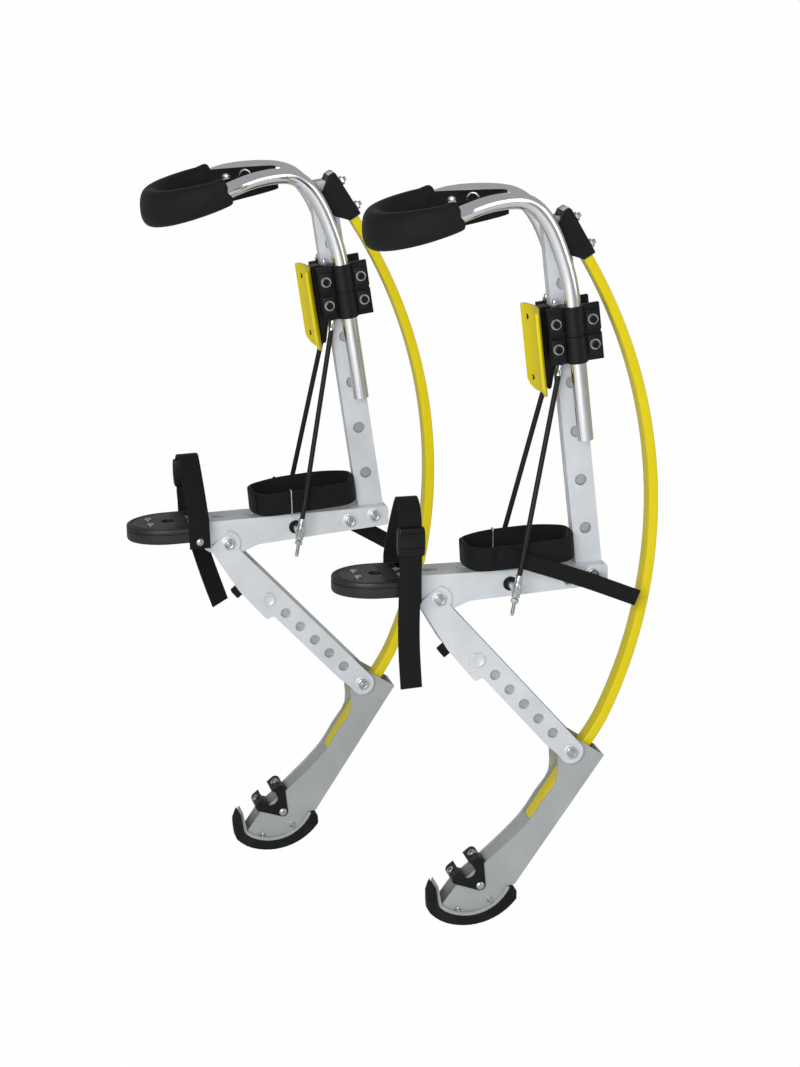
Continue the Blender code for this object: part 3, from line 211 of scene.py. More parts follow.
def silverCoat():
    return silverPaint("silverCoat", (0.69, 0.725, 0.76))


def dullSilver():  # darker copy of the frame's silver paint: painted shade for the light falling off down the leg
    return silverPaint("dullSilver", (0.43, 0.455, 0.455))


def chromeTube():  # polished tube with faint drawn lines
    shade = Shade("chromeTube", Metallic=1.0)
    haze = shade.noise(60.0, 5.0)
    drawn = shade.noise(900.0, 2.0, place=shade.place((1.0, 1.0, 0.02)))
    shade.put("Base Color", shade.mix(shade.span(drawn, 0.3, 0.7), (0.72, 0.73, 0.74), (0.84, 0.85, 0.86)))
    shade.put("Roughness", shade.span(haze, 0.3, 0.8, 0.10, 0.20))
    return shade.owner


def zincPlate():  # bright zinc on bolts, rings and ferrules
    shade = Shade("zincPlate", Metallic=1.0)
    spot = shade.noise(240.0, 3.0)
    shade.put("Base Color", shade.mix(spot, (0.42, 0.45, 0.45), (0.62, 0.65, 0.64)))
    shade.put("Roughness", shade.span(spot, 0.25, 0.75, 0.22, 0.38))
    return shade.owner


def blackSkin(name, specular, fine, coarse, dark, light, rough, raised):  # fine noise raised, coarse clouded
    shade = Shade(name, Specular_IOR_Level=specular)
    grain, cloud = shade.noise(fine, 2.0), shade.noise(coarse, 3.0)
    shade.put("Base Color", shade.mix(cloud, dark, light))
    shade.put("Roughness", shade.span(cloud, 0.3, 0.7, *rough))
    shade.bump(grain, raised, 0.0003)
    return shade.owner


def blackCoat():  # black powder coat
    dark, light = (0.003, 0.003, 0.0035), (0.007, 0.007, 0.0075)
    return blackSkin("blackCoat", 0.24, 900.0, 35.0, dark, light, (0.34, 0.46), 0.22)


def mouldedBlack():  # pebbled moulded plastic
    dark, light = (0.009, 0.009, 0.010), (0.018, 0.018, 0.020)
    return blackSkin("mouldedBlack", 0.42, 1500.0, 28.0, dark, light, (0.36, 0.48), 0.30)


def foamSkin():  # closed foam with a soft skin
    shade = Shade("foamSkin", Specular_IOR_Level=0.18, Sheen_Weight=0.04, Sheen_Roughness=0.5)
    cell = shade.noise(700.0, 2.0)
    dent = shade.noise(26.0, 3.0)
    shade.put("Base Color", shade.mix(dent, (0.004, 0.004, 0.005), (0.010, 0.010, 0.0115)))
    shade.put("Roughness", shade.span(cell, 0.3, 0.7, 0.62, 0.78))
    shade.bump(cell * 0.35 + dent, 0.35, 0.0012)
    return shade.owner


def hoofRubber():
    shade = Shade("hoofRubber", Specular_IOR_Level=0.20)
    grain = shade.noise(1100.0, 2.0)
    dust = shade.noise(40.0, 5.0)
    dark, light = (0.005, 0.005, 0.0055), (0.018, 0.018, 0.0175)
    shade.put("Base Color", shade.mix(shade.span(dust, 0.45, 0.8), dark, light))
    shade.put("Roughness", shade.span(dust, 0.3, 0.8, 0.60, 0.80))
    shade.bump(grain, 0.30, 0.0004)
    return shade.owner


def springGloss():  # yellow fibre-reinforced leaf under clear lacquer
    shade = Shade("springGloss", Specular_IOR_Level=0.25, Coat_Roughness=0.15)
    strand = shade.noise(420.0, 3.0, place=shade.place((1.0, 1.0, 0.03)))
    cloud = shade.noise(9.0, 3.0)
    tone = shade.mix(cloud, (0.68, 0.55, 0.002), (0.78, 0.65, 0.004))
    shade.put("Base Color", shade.mix(shade.span(strand, 0.45, 0.9, 0.0, 0.35), tone, (0.58, 0.44, 0.001)))
    shade.put("Roughness", shade.span(cloud, 0.3, 0.7, 0.30, 0.42))
    shade.put("Coat Weight", 0.08)
    shade.bump(strand, 0.05, 0.0003)
    return shade.owner


weave = {"pick": 0.0030, "rib": 0.0026, "twill": 0.0011}  # pitches


def webbingWeave():  # woven strap: ribs across and fine picks along, read from the strap's own map
    shade = Shade("webbingWeave", Specular_IOR_Level=0.15, Sheen_Weight=0.03, Sheen_Roughness=0.5)
    along = shade.node("SeparateXYZ", None, {0: shade.node("UVMap", {"uv_map": "strap"})})
    across = along.other(1)
    pick = shade.sum("SINE", along * (math.tau / weave["pick"]), 0.0)
    rib = shade.sum("SINE", across * (math.tau / weave["rib"]), 0.0)
    twill = shade.sum("SINE", (along + across * 0.5) * (math.tau / weave["twill"]), 0.0)
    cloth = pick * 0.30 + pick * rib * 0.25 + twill * 0.12 + 0.5
    fuzz = shade.noise(900.0, 3.0)
    dark, light = (0.002, 0.002, 0.0025), (0.012, 0.012, 0.013)
    shade.put("Base Color", shade.mix(shade.span(cloth + fuzz * 0.4, 0.2, 1.2), dark, light))
    shade.put("Roughness", shade.span(cloth, 0.0, 1.0, 0.62, 0.86))
    shade.bump(cloth + fuzz * 0.25, 0.65, 0.0006)
    return shade.owner


def cableSheath():
    shade = Shade("cableSheath", Specular_IOR_Level=0.25)
    scuff = shade.noise(160.0, 4.0)
    shade.put("Base Color", shade.mix(scuff, (0.004, 0.004, 0.0045), (0.010, 0.010, 0.0105)))
    shade.put("Roughness", shade.span(scuff, 0.3, 0.7, 0.40, 0.55))
    return shade.owner


finishSlot = {
    silverCoat: "silver_alloy", dullSilver: "silver_alloy", chromeTube: "chrome_tube",
    zincPlate: "zinc_steel", blackCoat: "black_paint", mouldedBlack: "black_plastic",
    foamSkin: "black_foam", cableSheath: "black_cable", webbingWeave: "black_webbing",
    hoofRubber: "black_rubber", springGloss: "yellow_spring",
}
finishes = {make.__name__: (make(), slot) for make, slot in finishSlot.items()}
print("finishes:", len(finishes))


# surfaces: grids of points, each a row of profile points carried along a path or turned about an axis

def unit(rows):
    return rows / np.linalg.norm(rows, axis=-1, keepdims=True)


def shell(grid, closed=False):  # quads over a grid whose rows are loops; the two end rows become caps
    rows, cols = grid.shape[:2]
    r, c = np.meshgrid(np.arange(rows if closed else rows - 1), np.arange(cols), indexing="ij")
    n, d = (c + 1) % cols, (r + 1) % rows
    faces = np.stack((r * cols + c, r * cols + n, d * cols + n, d * cols + c), -1).reshape(-1, 4).tolist()
    if not closed:
        faces += [list(range(cols))[::-1], list(range((rows - 1) * cols, rows * cols))]
    return grid.reshape(-1, 3), faces


def frames(path, side, closed=False):  # way = its slope, across = side squared to it, out = across x way
    step = np.roll(path, -1, 0) - np.roll(path, 1, 0) if closed else np.gradient(path, axis=0)
    way = unit(step)
    across = unit(np.asarray(side, float) - (way @ np.asarray(side, float))[:, None] * way)
    return way, across, np.cross(across, way)


def carried(path, profile, side, closed=False):  # path + a * across + b * out for each profile point (a, b)
    path = np.asarray(path, float)
    way, across, out = frames(path, side, closed)
    profile = np.broadcast_to(profile, (len(path),) + np.shape(profile)[-2:])
    return path[:, None] + profile[..., :1] * across[:, None] + profile[..., 1:] * out[:, None]


def turned(centre, axis, rows, sides=40):  # centre + radius * ring + height * axis; a radius may vary
    axis = unit(np.asarray(axis, float))
    first = unit(np.cross(axis, (0.31, 0.17, 0.93)))
    turn = np.linspace(0, math.tau, sides, endpoint=False)[:, None]
    ring = np.cos(turn) * first + np.sin(turn) * np.cross(axis, first)
    radius = np.stack([np.broadcast_to(row[0], sides) for row in rows])[..., None]
    height = np.stack([np.broadcast_to(row[1], sides) for row in rows])[..., None]
    return shell(np.asarray(centre, float) + radius * ring + height * axis)


def mm(*rows):  # a turned profile in millimetres: radius, height
    return [(radius * 0.001, height * 0.001) for radius, height in rows]


def hexEdge(flats, sides=40):  # radius of a hexagon: half its flats / cos(angle from the nearest flat)
    turn = np.linspace(0, math.tau, sides, endpoint=False)
    return flats / 2 / np.cos((turn + math.pi / 6) % (math.pi / 3) - math.pi / 6)


def hexHead(centre, axis, flats, height):  # corners fall away 30 degrees outside the round top
    edge = hexEdge(flats, 48)
    fall = height - np.maximum(0.0, edge - 0.47 * flats) * 0.577
    rows = [(edge * 0.96, 0.0), (edge, 0.0003), (edge, fall), (0.465 * flats, height), (0.40 * flats, height),
            (0.36 * flats, height * 0.92), (0.02 * flats, height * 0.92)]
    return turned(centre, axis, rows, 48)


def washer(centre, axis, radius, thick):
    rows = np.array(((0.5, 0), (0.96, 0), (1, 0.3), (1, 0.75), (0.96, 1), (0.5, 1))) * (radius, thick)
    return turned(centre, axis, rows, 36)


def nutOnStud(centre, axis, flats, height, stud):  # a nut, and the end of its stud above it
    top = np.asarray(centre, float) + unit(np.asarray(axis, float)) * height * 0.9
    rows = [(stud, 0), (stud, stud * 1.1), (stud * 0.75, stud * 1.5), (stud * 0.1, stud * 1.5)]
    return [hexHead(centre, axis, flats, height), turned(top, axis, rows, 24)]


def domed(centre, axis, radius, height):  # rivet head: height * (1 - (r / radius)^2)^0.6
    spread = np.array((1.0, 0.99, 0.93, 0.80, 0.60, 0.35, 0.05))
    rows = [(radius * 0.98, -0.0006)] + [(radius * s, height * (1.0001 - s * s) ** 0.6) for s in spread]
    return turned(centre, axis, rows, 32)


def bar(width, thick, radius, steps=5):  # closed outline of a bar with round corners
    turn = (np.arange(4)[:, None] * math.pi / 2 + np.linspace(0, math.pi / 2, steps)).ravel()
    centre = (width / 2 - radius, thick / 2 - radius)
    corner = np.repeat(((1, 1), (-1, 1), (-1, -1), (1, -1)), steps, 0) * centre
    return corner + radius * np.stack((np.cos(turn), np.sin(turn)), -1)


def circle(radius, sides=28):
    turn = np.linspace(0, math.tau, sides, endpoint=False)
    return radius * np.stack((np.cos(turn), np.sin(turn)), -1)


def catmull(points, steps):  # smooth curve through the points: Catmull-Rom on four neighbours
    p = np.asarray(points, float)
    p = np.vstack((2 * p[0] - p[1], p, 2 * p[-1] - p[-2]))
    a, b, c, d = (p[k:len(p) - 3 + k, None] for k in range(4))
    t = np.linspace(0, 1, steps, endpoint=False)[None, :, None]
    square, cube = 2 * a - 5 * b + 4 * c - d, 3 * b - a - 3 * c + d
    curve = 0.5 * (2 * b + (c - a) * t + square * t ** 2 + cube * t ** 3)
    return np.vstack((curve.reshape(-1, p.shape[1]), p[-2]))


def runOf(path):  # length of the path up to each point
    return np.concatenate(((0,), np.cumsum(np.linalg.norm(np.diff(path, axis=0), axis=1))))


def evenly(path, count):  # the same path at even steps of its length
    path = np.asarray(path, float)
    run = runOf(path)
    steps = np.linspace(0, run[-1], count)
    return np.stack([np.interp(steps, run, row) for row in path.T], -1)


def stacked(rows, heights):  # flat outlines, each at its height
    return np.concatenate((rows, np.broadcast_to(heights[:, None, None], rows.shape[:2] + (1,))), -1)


def block(low, high, radius, turnTo):  # box with round edges, its corners through turnTo
    low, high = np.asarray(low, float), np.asarray(high, float)
    size = high - low
    inset = radius * np.array((1.0, 0.3, 0.0, 0.0, 0.3, 1.0))
    level = np.array((0.0, 0.3 * radius, radius, size[2] - radius, size[2] - 0.3 * radius, size[2]))
    rows = [bar(size[0] - 2 * i, size[1] - 2 * i, max(radius - i, radius * 0.25)) for i in inset]
    return shell(turnTo(stacked(np.stack(rows) + (low[:2] + high[:2]) / 2, low[2] + level)))


# pieces into the scene

def stand(points, stilt, drop=0.0):  # the stilt's own coordinates to the frame's
    points = np.asarray(points, float)
    low = points - drop * np.array((upWay[0], 0.0, upWay[1]))
    return low @ stilt["stand"][:3, :3].T + stilt["stand"][:3, 3]


def put(name, side, shells, finish="zincPlate", body="frames", replaced=(), spots=None, sharp=38):
    stilt = stilts[side]
    points, faces, base = [], [], 0
    for spot, ring in shells:
        points.append(spot)
        faces += [[base + k for k in face] for face in ring]
        base += len(spot)
    drop = stilt["kneeDrop"] if body == "knee_bar" else 0.0
    mesh = bpy.data.meshes.new(f"{side}_{name}")
    mesh.from_pydata(stand(np.vstack(points), stilt, drop).tolist(), [], faces)
    shape = bmesh.new()
    shape.from_mesh(mesh)
    bmesh.ops.recalc_face_normals(shape, faces=shape.faces)
    shape.to_mesh(mesh)
    shape.free()
    if spots is not None:  # strap map, metres along and across
        corner = np.empty(len(mesh.loops), int)
        mesh.loops.foreach_get("vertex_index", corner)
        spread = np.vstack(spots)[corner].ravel().astype(np.float32)
        mesh.uv_layers.new(name="strap").data.foreach_set("uv", spread)
    return settle(mesh, side, finish, body, replaced, sharp)


def settle(mesh, side, finish, body, replaced, sharp):
    mesh.shade_smooth()
    mesh.set_sharp_from_angle(angle=math.radians(sharp))
    mesh.materials.clear()
    mesh.materials.append(finishes[finish][0])
    thing = bpy.data.objects.new(mesh.name, mesh)
    bpy.context.scene.collection.objects.link(thing)
    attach(thing, "frames" if body == "frames" else f"{side}_{body}")
    if replaced:
        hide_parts(*[f"{side}_{node}" for node in replaced])
    return thing


def drillTool(centre, axis, radius, reach):
    start = np.asarray(centre) - unit(np.asarray(axis, float)) * reach
    return turned(start, axis, [(radius, 0.0), (radius, 2 * reach)])


def drilled(thing, side, drills):  # a boolean for each drill; returns the tools
    tools = []
    for points, faces in drills:
        mesh = bpy.data.meshes.new("drill")
        mesh.from_pydata(stand(points, stilts[side]).tolist(), [], faces)
        tools.append(bpy.data.objects.new("drill", mesh))
        bpy.context.scene.collection.objects.link(tools[-1])
        cut = thing.modifiers.new("drill", "BOOLEAN")
        cut.object = tools[-1]
        cut.operation = "DIFFERENCE"
    return tools


def applied(thing):  # its mesh with the modifiers in it
    bpy.context.view_layer.update()
    return bpy.data.meshes.new_from_object(thing.evaluated_get(bpy.context.evaluated_depsgraph_get()))


sharpEdge = math.radians(40)


def markBends(mesh, edge, bend):  # bevel weights: 1 on outer corners of two wide faces, edge / bend elsewhere
    shape = bmesh.new()
    shape.from_mesh(mesh)
    layers = shape.edges.layers.float
    weight = layers.get("bevel_weight_edge") or layers.new("bevel_weight_edge")
    for line in shape.edges:
        if len(line.link_faces) != 2 or abs(line.calc_face_angle()) < sharpEdge:
            continue
        length = line.calc_length()
        wide = min(face.calc_area() for face in line.link_faces) / length
        outer = line.calc_face_angle_signed() > 0
        line[weight] = 1.0 if outer and length > 0.05 and wide > 0.010 else edge / bend
    shape.to_mesh(mesh)
    shape.free()


def eased(side, node, finish, body, edge, bend, slot, drills=()):
    # copy of a node: doubles merged, flat faces joined, holes drilled round, edges eased by a small bevel
    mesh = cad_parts[f"{side}_{node}"].data.copy()
    mesh.name = f"{side}_{node}_eased"
    shape = bmesh.new()
    shape.from_mesh(mesh)
    bmesh.ops.remove_doubles(shape, verts=shape.verts, dist=2e-5)
    bmesh.ops.dissolve_limit(shape, angle_limit=math.radians(0.6), verts=shape.verts, edges=shape.edges)
    shape.to_mesh(mesh)
    shape.free()
    thing = bpy.data.objects.new("work", mesh)
    bpy.context.scene.collection.objects.link(thing)
    tools = drilled(thing, side, drills)
    if bend:  # the sheet's bends need the drilled shape
        mesh = applied(thing)
        thing.modifiers.clear()
        markBends(mesh, edge, bend)
        thing.data = mesh
    bevel = thing.modifiers.new("edge", "BEVEL")
    bevel.width = bend or edge
    bevel.segments = 3 if bend else 2
    bevel.limit_method = "WEIGHT" if bend else "ANGLE"
    bevel.angle_limit = sharpEdge
    bevel.use_clamp_overlap = True
    done = applied(thing)
    done.name = f"{side}_{node}_eased"
    for old in [thing] + tools:
        bpy.data.objects.remove(old)
    made = settle(done, side, finish, body, (node,), 50.0)
    made.modifiers.new("flats", "WEIGHTED_NORMAL").keep_sharp = True


# places on a stilt, in its side plane (x to the rear, z up), zero at the link pivot

def sidePlane(origin, along, out):
    return lambda a, b: np.asarray(origin) + a * np.asarray(along) + b * np.asarray(out)


def slope(degrees):
    return math.cos(math.radians(degrees)), math.sin(math.radians(degrees))


def deep(xz, y):  # a point of the side plane at a distance across
    return np.array((xz[0], y, xz[1]))


def wayOf(xz):
    return np.array((xz[0], 0.0, xz[1]))


across = np.array((0.0, 1.0, 0.0))
backWay, upWay = np.array(slope(6.4)), np.array(slope(96.4))
onUpright = sidePlane((0.195, 0.019), backWay, upWay)
headWay, headOut = np.array(slope(-60.0)), np.array(slope(30.0))
onHead = sidePlane((0.157, 0.461), headWay, headOut)
linkWay, linkOut = np.array(slope(-51.0)), np.array(slope(39.0))
onLink = sidePlane((0.0, 0.0), linkWay, linkOut)
legWay, legFront = np.array(slope(235.7)), np.array(slope(145.7))
linkLength, linkHalf, tubeHalf = 0.270, 0.0284, 0.026
onLeg = sidePlane(onLink(linkLength, 0.0), legWay, legFront)


def placed(on):  # points (a, b, y) of a grid to that side plane
    def to(grid):
        flat = on(grid[..., :1], grid[..., 1:2])
        return np.concatenate((flat[..., :1], grid[..., 2:], flat[..., 1:]), -1)
    return to


def railPoints(grid):  # points (u, y, w) to the rear, across and up the upright
    return placed(onUpright)(grid[..., (0, 2, 1)])


# knee tubes, cuff and strap

tubes = {"radius": 0.010, "wall": 0.0018, "back": 0.006, "foot": 0.171, "straight": 0.352,
         "apex": (0.101, 0.029, 0.485), "intoCuff": 0.006, "soften": 7.0, "reach": 24}
cuff = {"half": 0.0635, "front": 0.0745, "back": 0.016, "level": 0.452, "rise": 0.019, "wingRise": 0.006,
        "height": 0.047, "thick": 0.026, "crown": 0.003, "wing": 0.78, "power": 2.4, "round": 0.007,
        "fill": 0.9}


def wingEnd():
    way = np.array((cuff["back"], 0.0, cuff["wingRise"]))
    return np.array((0.0, cuff["half"], cuff["level"] + cuff["rise"])) + way, unit(way)


def tubePath(sign):
    foot, bend = onUpright(tubes["back"], tubes["foot"]), onUpright(tubes["back"], tubes["straight"])
    ease = onUpright(tubes["back"], tubes["straight"] - tubes["radius"])
    apex = np.array(tubes["apex"])
    end, way = wingEnd()
    back, wide, rise = bend[0] - apex[0], apex[1] - tubeHalf, apex[2] - bend[1]
    bent = [deep(ease, tubeHalf), deep(bend, tubeHalf),
            (bend[0] - 0.11 * back, tubeHalf + 0.12 * wide, bend[1] + 0.26 * rise),
            (bend[0] - 0.38 * back, tubeHalf + 0.48 * wide, bend[1] + 0.65 * rise),
            (bend[0] - 0.66 * back, tubeHalf + 0.79 * wide, bend[1] + 0.88 * rise),
            apex, (apex + end) / 2 + (0, 0, tubes["radius"] / 2), end + way * tubes["radius"]]
    path = evenly(np.vstack((deep(foot, tubeHalf), catmull(bent, 10), end - way * tubes["intoCuff"])), 260)
    reach = tubes["reach"]  # running mean that rounds off the bend
    ends = np.arange(reach, 0, -1)[:, None]
    before, after = path[0] - ends * (path[1] - path[0]), path[-1] + ends[::-1] * (path[-1] - path[-2])
    longer = np.vstack((before, path, after))
    bell = np.exp(-0.5 * (np.arange(-reach, reach + 1) / tubes["soften"]) ** 2)
    return np.stack([np.convolve(line, bell / bell.sum(), "valid") for line in longer.T], -1) * (1, sign, 1)


def addTube(side, name, sign):  # round profile along the path; its foot is drilled out and its rim eased
    path = tubePath(sign)
    way, aside, out = frames(path, across)
    ring = circle(1.0)
    spread = ring[:, :1] * aside[:, None] + ring[:, 1:] * out[:, None]
    radius = tubes["radius"]
    inner = radius - tubes["wall"]
    grid = path[:, None] + radius * spread
    rim = ((0.020, inner * 0.4), (0.020, inner), (0.0004, inner), (0.0, inner + 0.0003),
           (0.0, radius - 0.0005), (0.0005, radius))
    foot = [path[0] + way[0] * run + size * spread[0] for run, size in rim]
    put(name, side, [shell(np.concatenate((np.stack(foot), grid[1:])))], "chromeTube", "knee_bar", (name,))


def addCuff(side):  # U path round the shin; section a rounded oval, fuller inside, ends rolled in
    turn = np.linspace(0, math.pi, 73)
    end, way = wingEnd()
    arch = np.stack((-cuff["front"] * np.sin(turn), -cuff["half"] * np.cos(turn),
                     cuff["level"] + cuff["rise"] * (1 - np.sin(turn))), -1)
    lead = np.linspace(0, 1, 10)[1:, None]
    first, last = arch[0] + (end * (1, -1, 1) - arch[0]) * lead[::-1], arch[-1] + (end - arch[-1]) * lead
    path = np.vstack((first, arch, last))
    size = np.concatenate((np.full(9, cuff["wing"]), cuff["wing"] + (1 - cuff["wing"]) * np.sin(turn),
                           np.full(9, cuff["wing"])))
    run = runOf(path)
    fromEnd = np.minimum(run, run[-1] - run)
    roll = np.sqrt(np.clip(1 - (1 - np.clip(fromEnd / cuff["round"], 0, 1)) ** 2, 0.0, 1)) * 0.22 + 0.78
    loop = np.linspace(0, math.tau, 48, endpoint=False)
    edge = lambda v: np.sign(v) * np.abs(v) ** (2 / cuff["power"])
    tall = edge(np.sin(loop)) * cuff["height"] / 2
    thick = edge(np.cos(loop)) * cuff["thick"] / 2
    thick = thick + cuff["crown"] * np.clip(np.cos(loop), 0, 1) * (1 - np.sin(loop) ** 2)
    profile = np.stack((tall, thick), -1)[None] * (size * roll)[:, None, None]
    foam = shell(carried(path, profile * (1, -1), (0, 0, 1)))
    pad = put("knee_cuff_foam", side, [foam], "foamSkin", "knee_bar", ("knee_cuff",), sharp=70)


# straps: a webbing outline carried along a path, with a map in metres for the weave

webbing = {"thick": 0.003, "tailThick": 0.0025, "round": 0.0011}


def strapMap(run, profile):
    return np.stack(np.broadcast_arrays(run[:, None], profile[:, 0][None]), -1).reshape(-1, 2)


def strapShell(path, width, thick, side, twist=0.0):  # twist: radians, one for each point of the path
    profile = bar(width, thick, min(webbing["round"], thick * 0.45))
    c, s = (np.broadcast_to(f(twist), len(path))[:, None] for f in (np.cos, np.sin))
    wide, deepness = profile.T
    twisted = np.stack((wide * c - deepness * s, wide * s + deepness * c), -1)
    return shell(carried(path, twisted, side)), strapMap(runOf(path), profile)


def addStrap(name, side, parts, body, replaced=()):
    put(name, side, [part[0] for part in parts], "webbingWeave", body, replaced, [part[1] for part in parts])


toeStrap = {"width": 0.027, "back": 0.040, "half": 0.0468, "springing": 0.099, "inner": 0.038, "apex": 0.021,
            "bow": 1.8, "end": 0.002, "tailEnd": -0.104, "keeper": 0.036}


def addToeStrap(side):  # slack from the plate's inner side to a fold beside the keeper, then down through it
    stilt = stilts[side]
    half, apex, top = toeStrap["half"], toeStrap["apex"], stilt["strapTop"]
    turn = np.linspace(0, math.pi / 2, 40)
    slack = np.column_stack((apex - (half + apex) * np.cos(turn) ** toeStrap["bow"],
                             toeStrap["inner"] + (top - toeStrap["inner"]) * np.sin(turn) ** toeStrap["bow"]))
    fold = np.column_stack((half - (half - apex) * (1 - np.sin(turn)),
                            toeStrap["springing"] + (top - toeStrap["springing"]) * np.cos(turn)))
    plan = np.vstack(((-half, toeStrap["end"]), slack, fold[1:], (half, toeStrap["end"])))
    path = np.column_stack((np.full(len(plan), -toeStrap["back"]), stilt["outer"] * plan[:, 0], plan[:, 1]))
    path = evenly(path, 110)
    strap = strapShell(path, toeStrap["width"], webbing["thick"], (1, 0, 0))
    addStrap("toe_strap_webbing", side, [strap], "frames", ("toe_strap",))
    seat = (-toeStrap["back"], -stilt["outer"] * (toeStrap["half"] + webbing["thick"] / 2), 0.011)
    put("toe_strap_rivet", side, [domed(seat, (0, -stilt["outer"], 0), 0.0052, 0.0026)])


def addToeTail(side):  # straight through the keeper, then swung back and bowed a little outwards
    stilt = stilts[side]
    y = stilt["outer"] * (toeStrap["half"] + webbing["thick"] / 2 + 0.0003 + webbing["tailThick"] / 2)
    bend = toeStrap["springing"] - toeStrap["keeper"] - toeStrap["width"] / 4
    drop = np.linspace(toeStrap["springing"] - 0.001, toeStrap["tailEnd"] + 0.0005, 80)
    below = np.clip((bend - drop) / (bend - toeStrap["tailEnd"]), 0, 1)
    ease = below ** 2 / (below + 0.12) * 1.12
    swing = (bend - toeStrap["tailEnd"]) * math.tan(math.radians(stilt["tailSwing"]))
    path = np.stack((-toeStrap["back"] + swing * ease - 0.003 * np.sin(below * math.pi),
                     y + stilt["outer"] * 0.0012 * np.sin(below * math.pi * 1.5) ** 2, drop), -1)
    twist = np.radians(stilt["tailTwist"]) * np.clip(below * 2.2, 0, 1) ** 2
    strap = strapShell(path, toeStrap["width"], webbing["tailThick"], (1, 0, 0), twist)
    addStrap("toe_tail_webbing", side, [strap], "frames", ("toe_strap_tail",))


toeKeeper = {"width": 0.0328, "wall": 0.0028, "round": 0.0025, "inner": 0.0018, "outer": 0.0021,
             "rows": ((0.0, -1.8), (0.8, -0.6), (3.0, 0), (10.0, 0.4), (18.0, 0.6), (26.0, 0.4), (33.0, 0),
                      (35.2, -0.6), (36.0, -1.8)),  # mm up, mm wider
             "bars": (0.009, 0.027), "barHalf": 0.0150, "bar": (0.0042, 0.0030, 0.0012), "proud": 0.003}


def addToeKeeper(side):  # moulded sleeve with two bars across its face
    stilt = stilts[side]
    inside = toeStrap["half"] - toeKeeper["inner"]
    outside = toeStrap["half"] + toeKeeper["outer"] + webbing["tailThick"]
    top = toeStrap["springing"] - 0.0003
    foot = top - toeStrap["keeper"]
    middle = stilt["outer"] * (inside + outside) / 2
    level, swell = np.transpose(mm(*toeKeeper["rows"]))
    wide, thick = toeKeeper["width"], outside - inside + 2 * toeKeeper["wall"]
    rows = np.stack([bar(wide + 2 * s, thick + 2 * s, toeKeeper["round"]) for s in swell])
    grid = stacked(rows + (-toeStrap["back"], middle), foot + level)
    face = stilt["outer"] * (outside + toeKeeper["proud"])
    half, bars = toeKeeper["barHalf"], []
    for height in toeKeeper["bars"]:
        first, last = ((end - toeStrap["back"], face, foot + height) for end in (-half, half))
        bars.append(shell(carried(np.linspace(first, last, 9), bar(*toeKeeper["bar"]), (0, 0, 1))))
    put("toe_keeper_sleeve", side, [shell(grid)] + bars, "blackCoat", "frames", ("toe_keeper",))


heelStrap = {"half": 0.039, "front": 0.038, "rear": 0.17185, "foot": 0.0365, "height": 0.031, "rise": 0.004,
             "power": 0.62, "tailWidth": 0.021, "tailStart": 0.070, "tailLength": 0.190, "tailLevel": 0.057,
             "lap": (115.0, 205.0), "buckle": (0.083, 0.0010), "patch": (0.012, 0.015, 0.0008)}
heelReach = (heelStrap["rear"] - heelStrap["front"]) / 2
heelMiddle = (heelStrap["rear"] + heelStrap["front"]) / 2


def heelOval(turn, grow=0.0):  # |cos|^p, |sin|^p oval between the front of the foot frame and the upright
    c, s = np.cos(turn), np.sin(turn)
    bend = lambda v: np.sign(v) * np.abs(v) ** heelStrap["power"]
    return np.stack((heelMiddle + bend(c) * (heelReach + grow), bend(s) * (heelStrap["half"] + grow)), -1)


def addHeelStrap(side):
    stilt = stilts[side]
    level = heelStrap["foot"] + heelStrap["height"] / 2
    lean = heelStrap["rise"] / heelReach

    def raised(plan, low=0.0):  # the loop rises to the rear
        return np.column_stack((plan, level + (plan[:, 0] - heelMiddle) * lean + low))

    turn = np.linspace(0, math.tau, 121)[:-1]
    loop = raised(heelOval(turn), -0.0012 * np.sin(turn * 2.0) ** 2)
    profile = bar(heelStrap["height"] - 0.0012, webbing["thick"], webbing["round"])
    grid = carried(loop, profile, (-lean, 0, 1), True)
    parts = [(shell(grid, True), strapMap(runOf(np.vstack((loop, loop[:1])))[:-1], profile))]
    lap = np.radians(np.linspace(*heelStrap["lap"], 50)) * stilt["outer"]  # the loop's lapped and sewn front
    over = raised(heelOval(lap, 0.0024), -0.0004)
    parts.append(strapShell(over, heelStrap["height"] - 0.004, 0.0022, (-lean, 0, 1)))
    addStrap("heel_strap_webbing", side, parts, "frames", ("heel_strap",))
    x, wire = heelStrap["buckle"]  # wire slide round the strap on the inner side
    wireLoop = bar(0.0076, heelStrap["height"] + 0.0014, 0.0022, 7)
    slide = np.column_stack((np.full(len(wireLoop), x), wireLoop[:, 0] - stilt["outer"] * heelStrap["half"],
                             wireLoop[:, 1] + level + (x - heelMiddle) * lean - 0.0004))
    put("heel_buckle", side, [shell(carried(slide, circle(wire, 12), (1, 0, 0), True), True)])
    wide, tall, thick = heelStrap["patch"]
    face = heelStrap["rear"] - webbing["thick"] / 2
    high = level + heelStrap["rise"] + 0.006
    patch = block((-wide / 2, -tall / 2, 0.0), (wide / 2, tall / 2, thick), 0.0004,
                  lambda grid: np.stack((face - grid[..., 2], grid[..., 0] + 0.008, grid[..., 1] + high), -1))
    put("heel_patch", side, [patch])


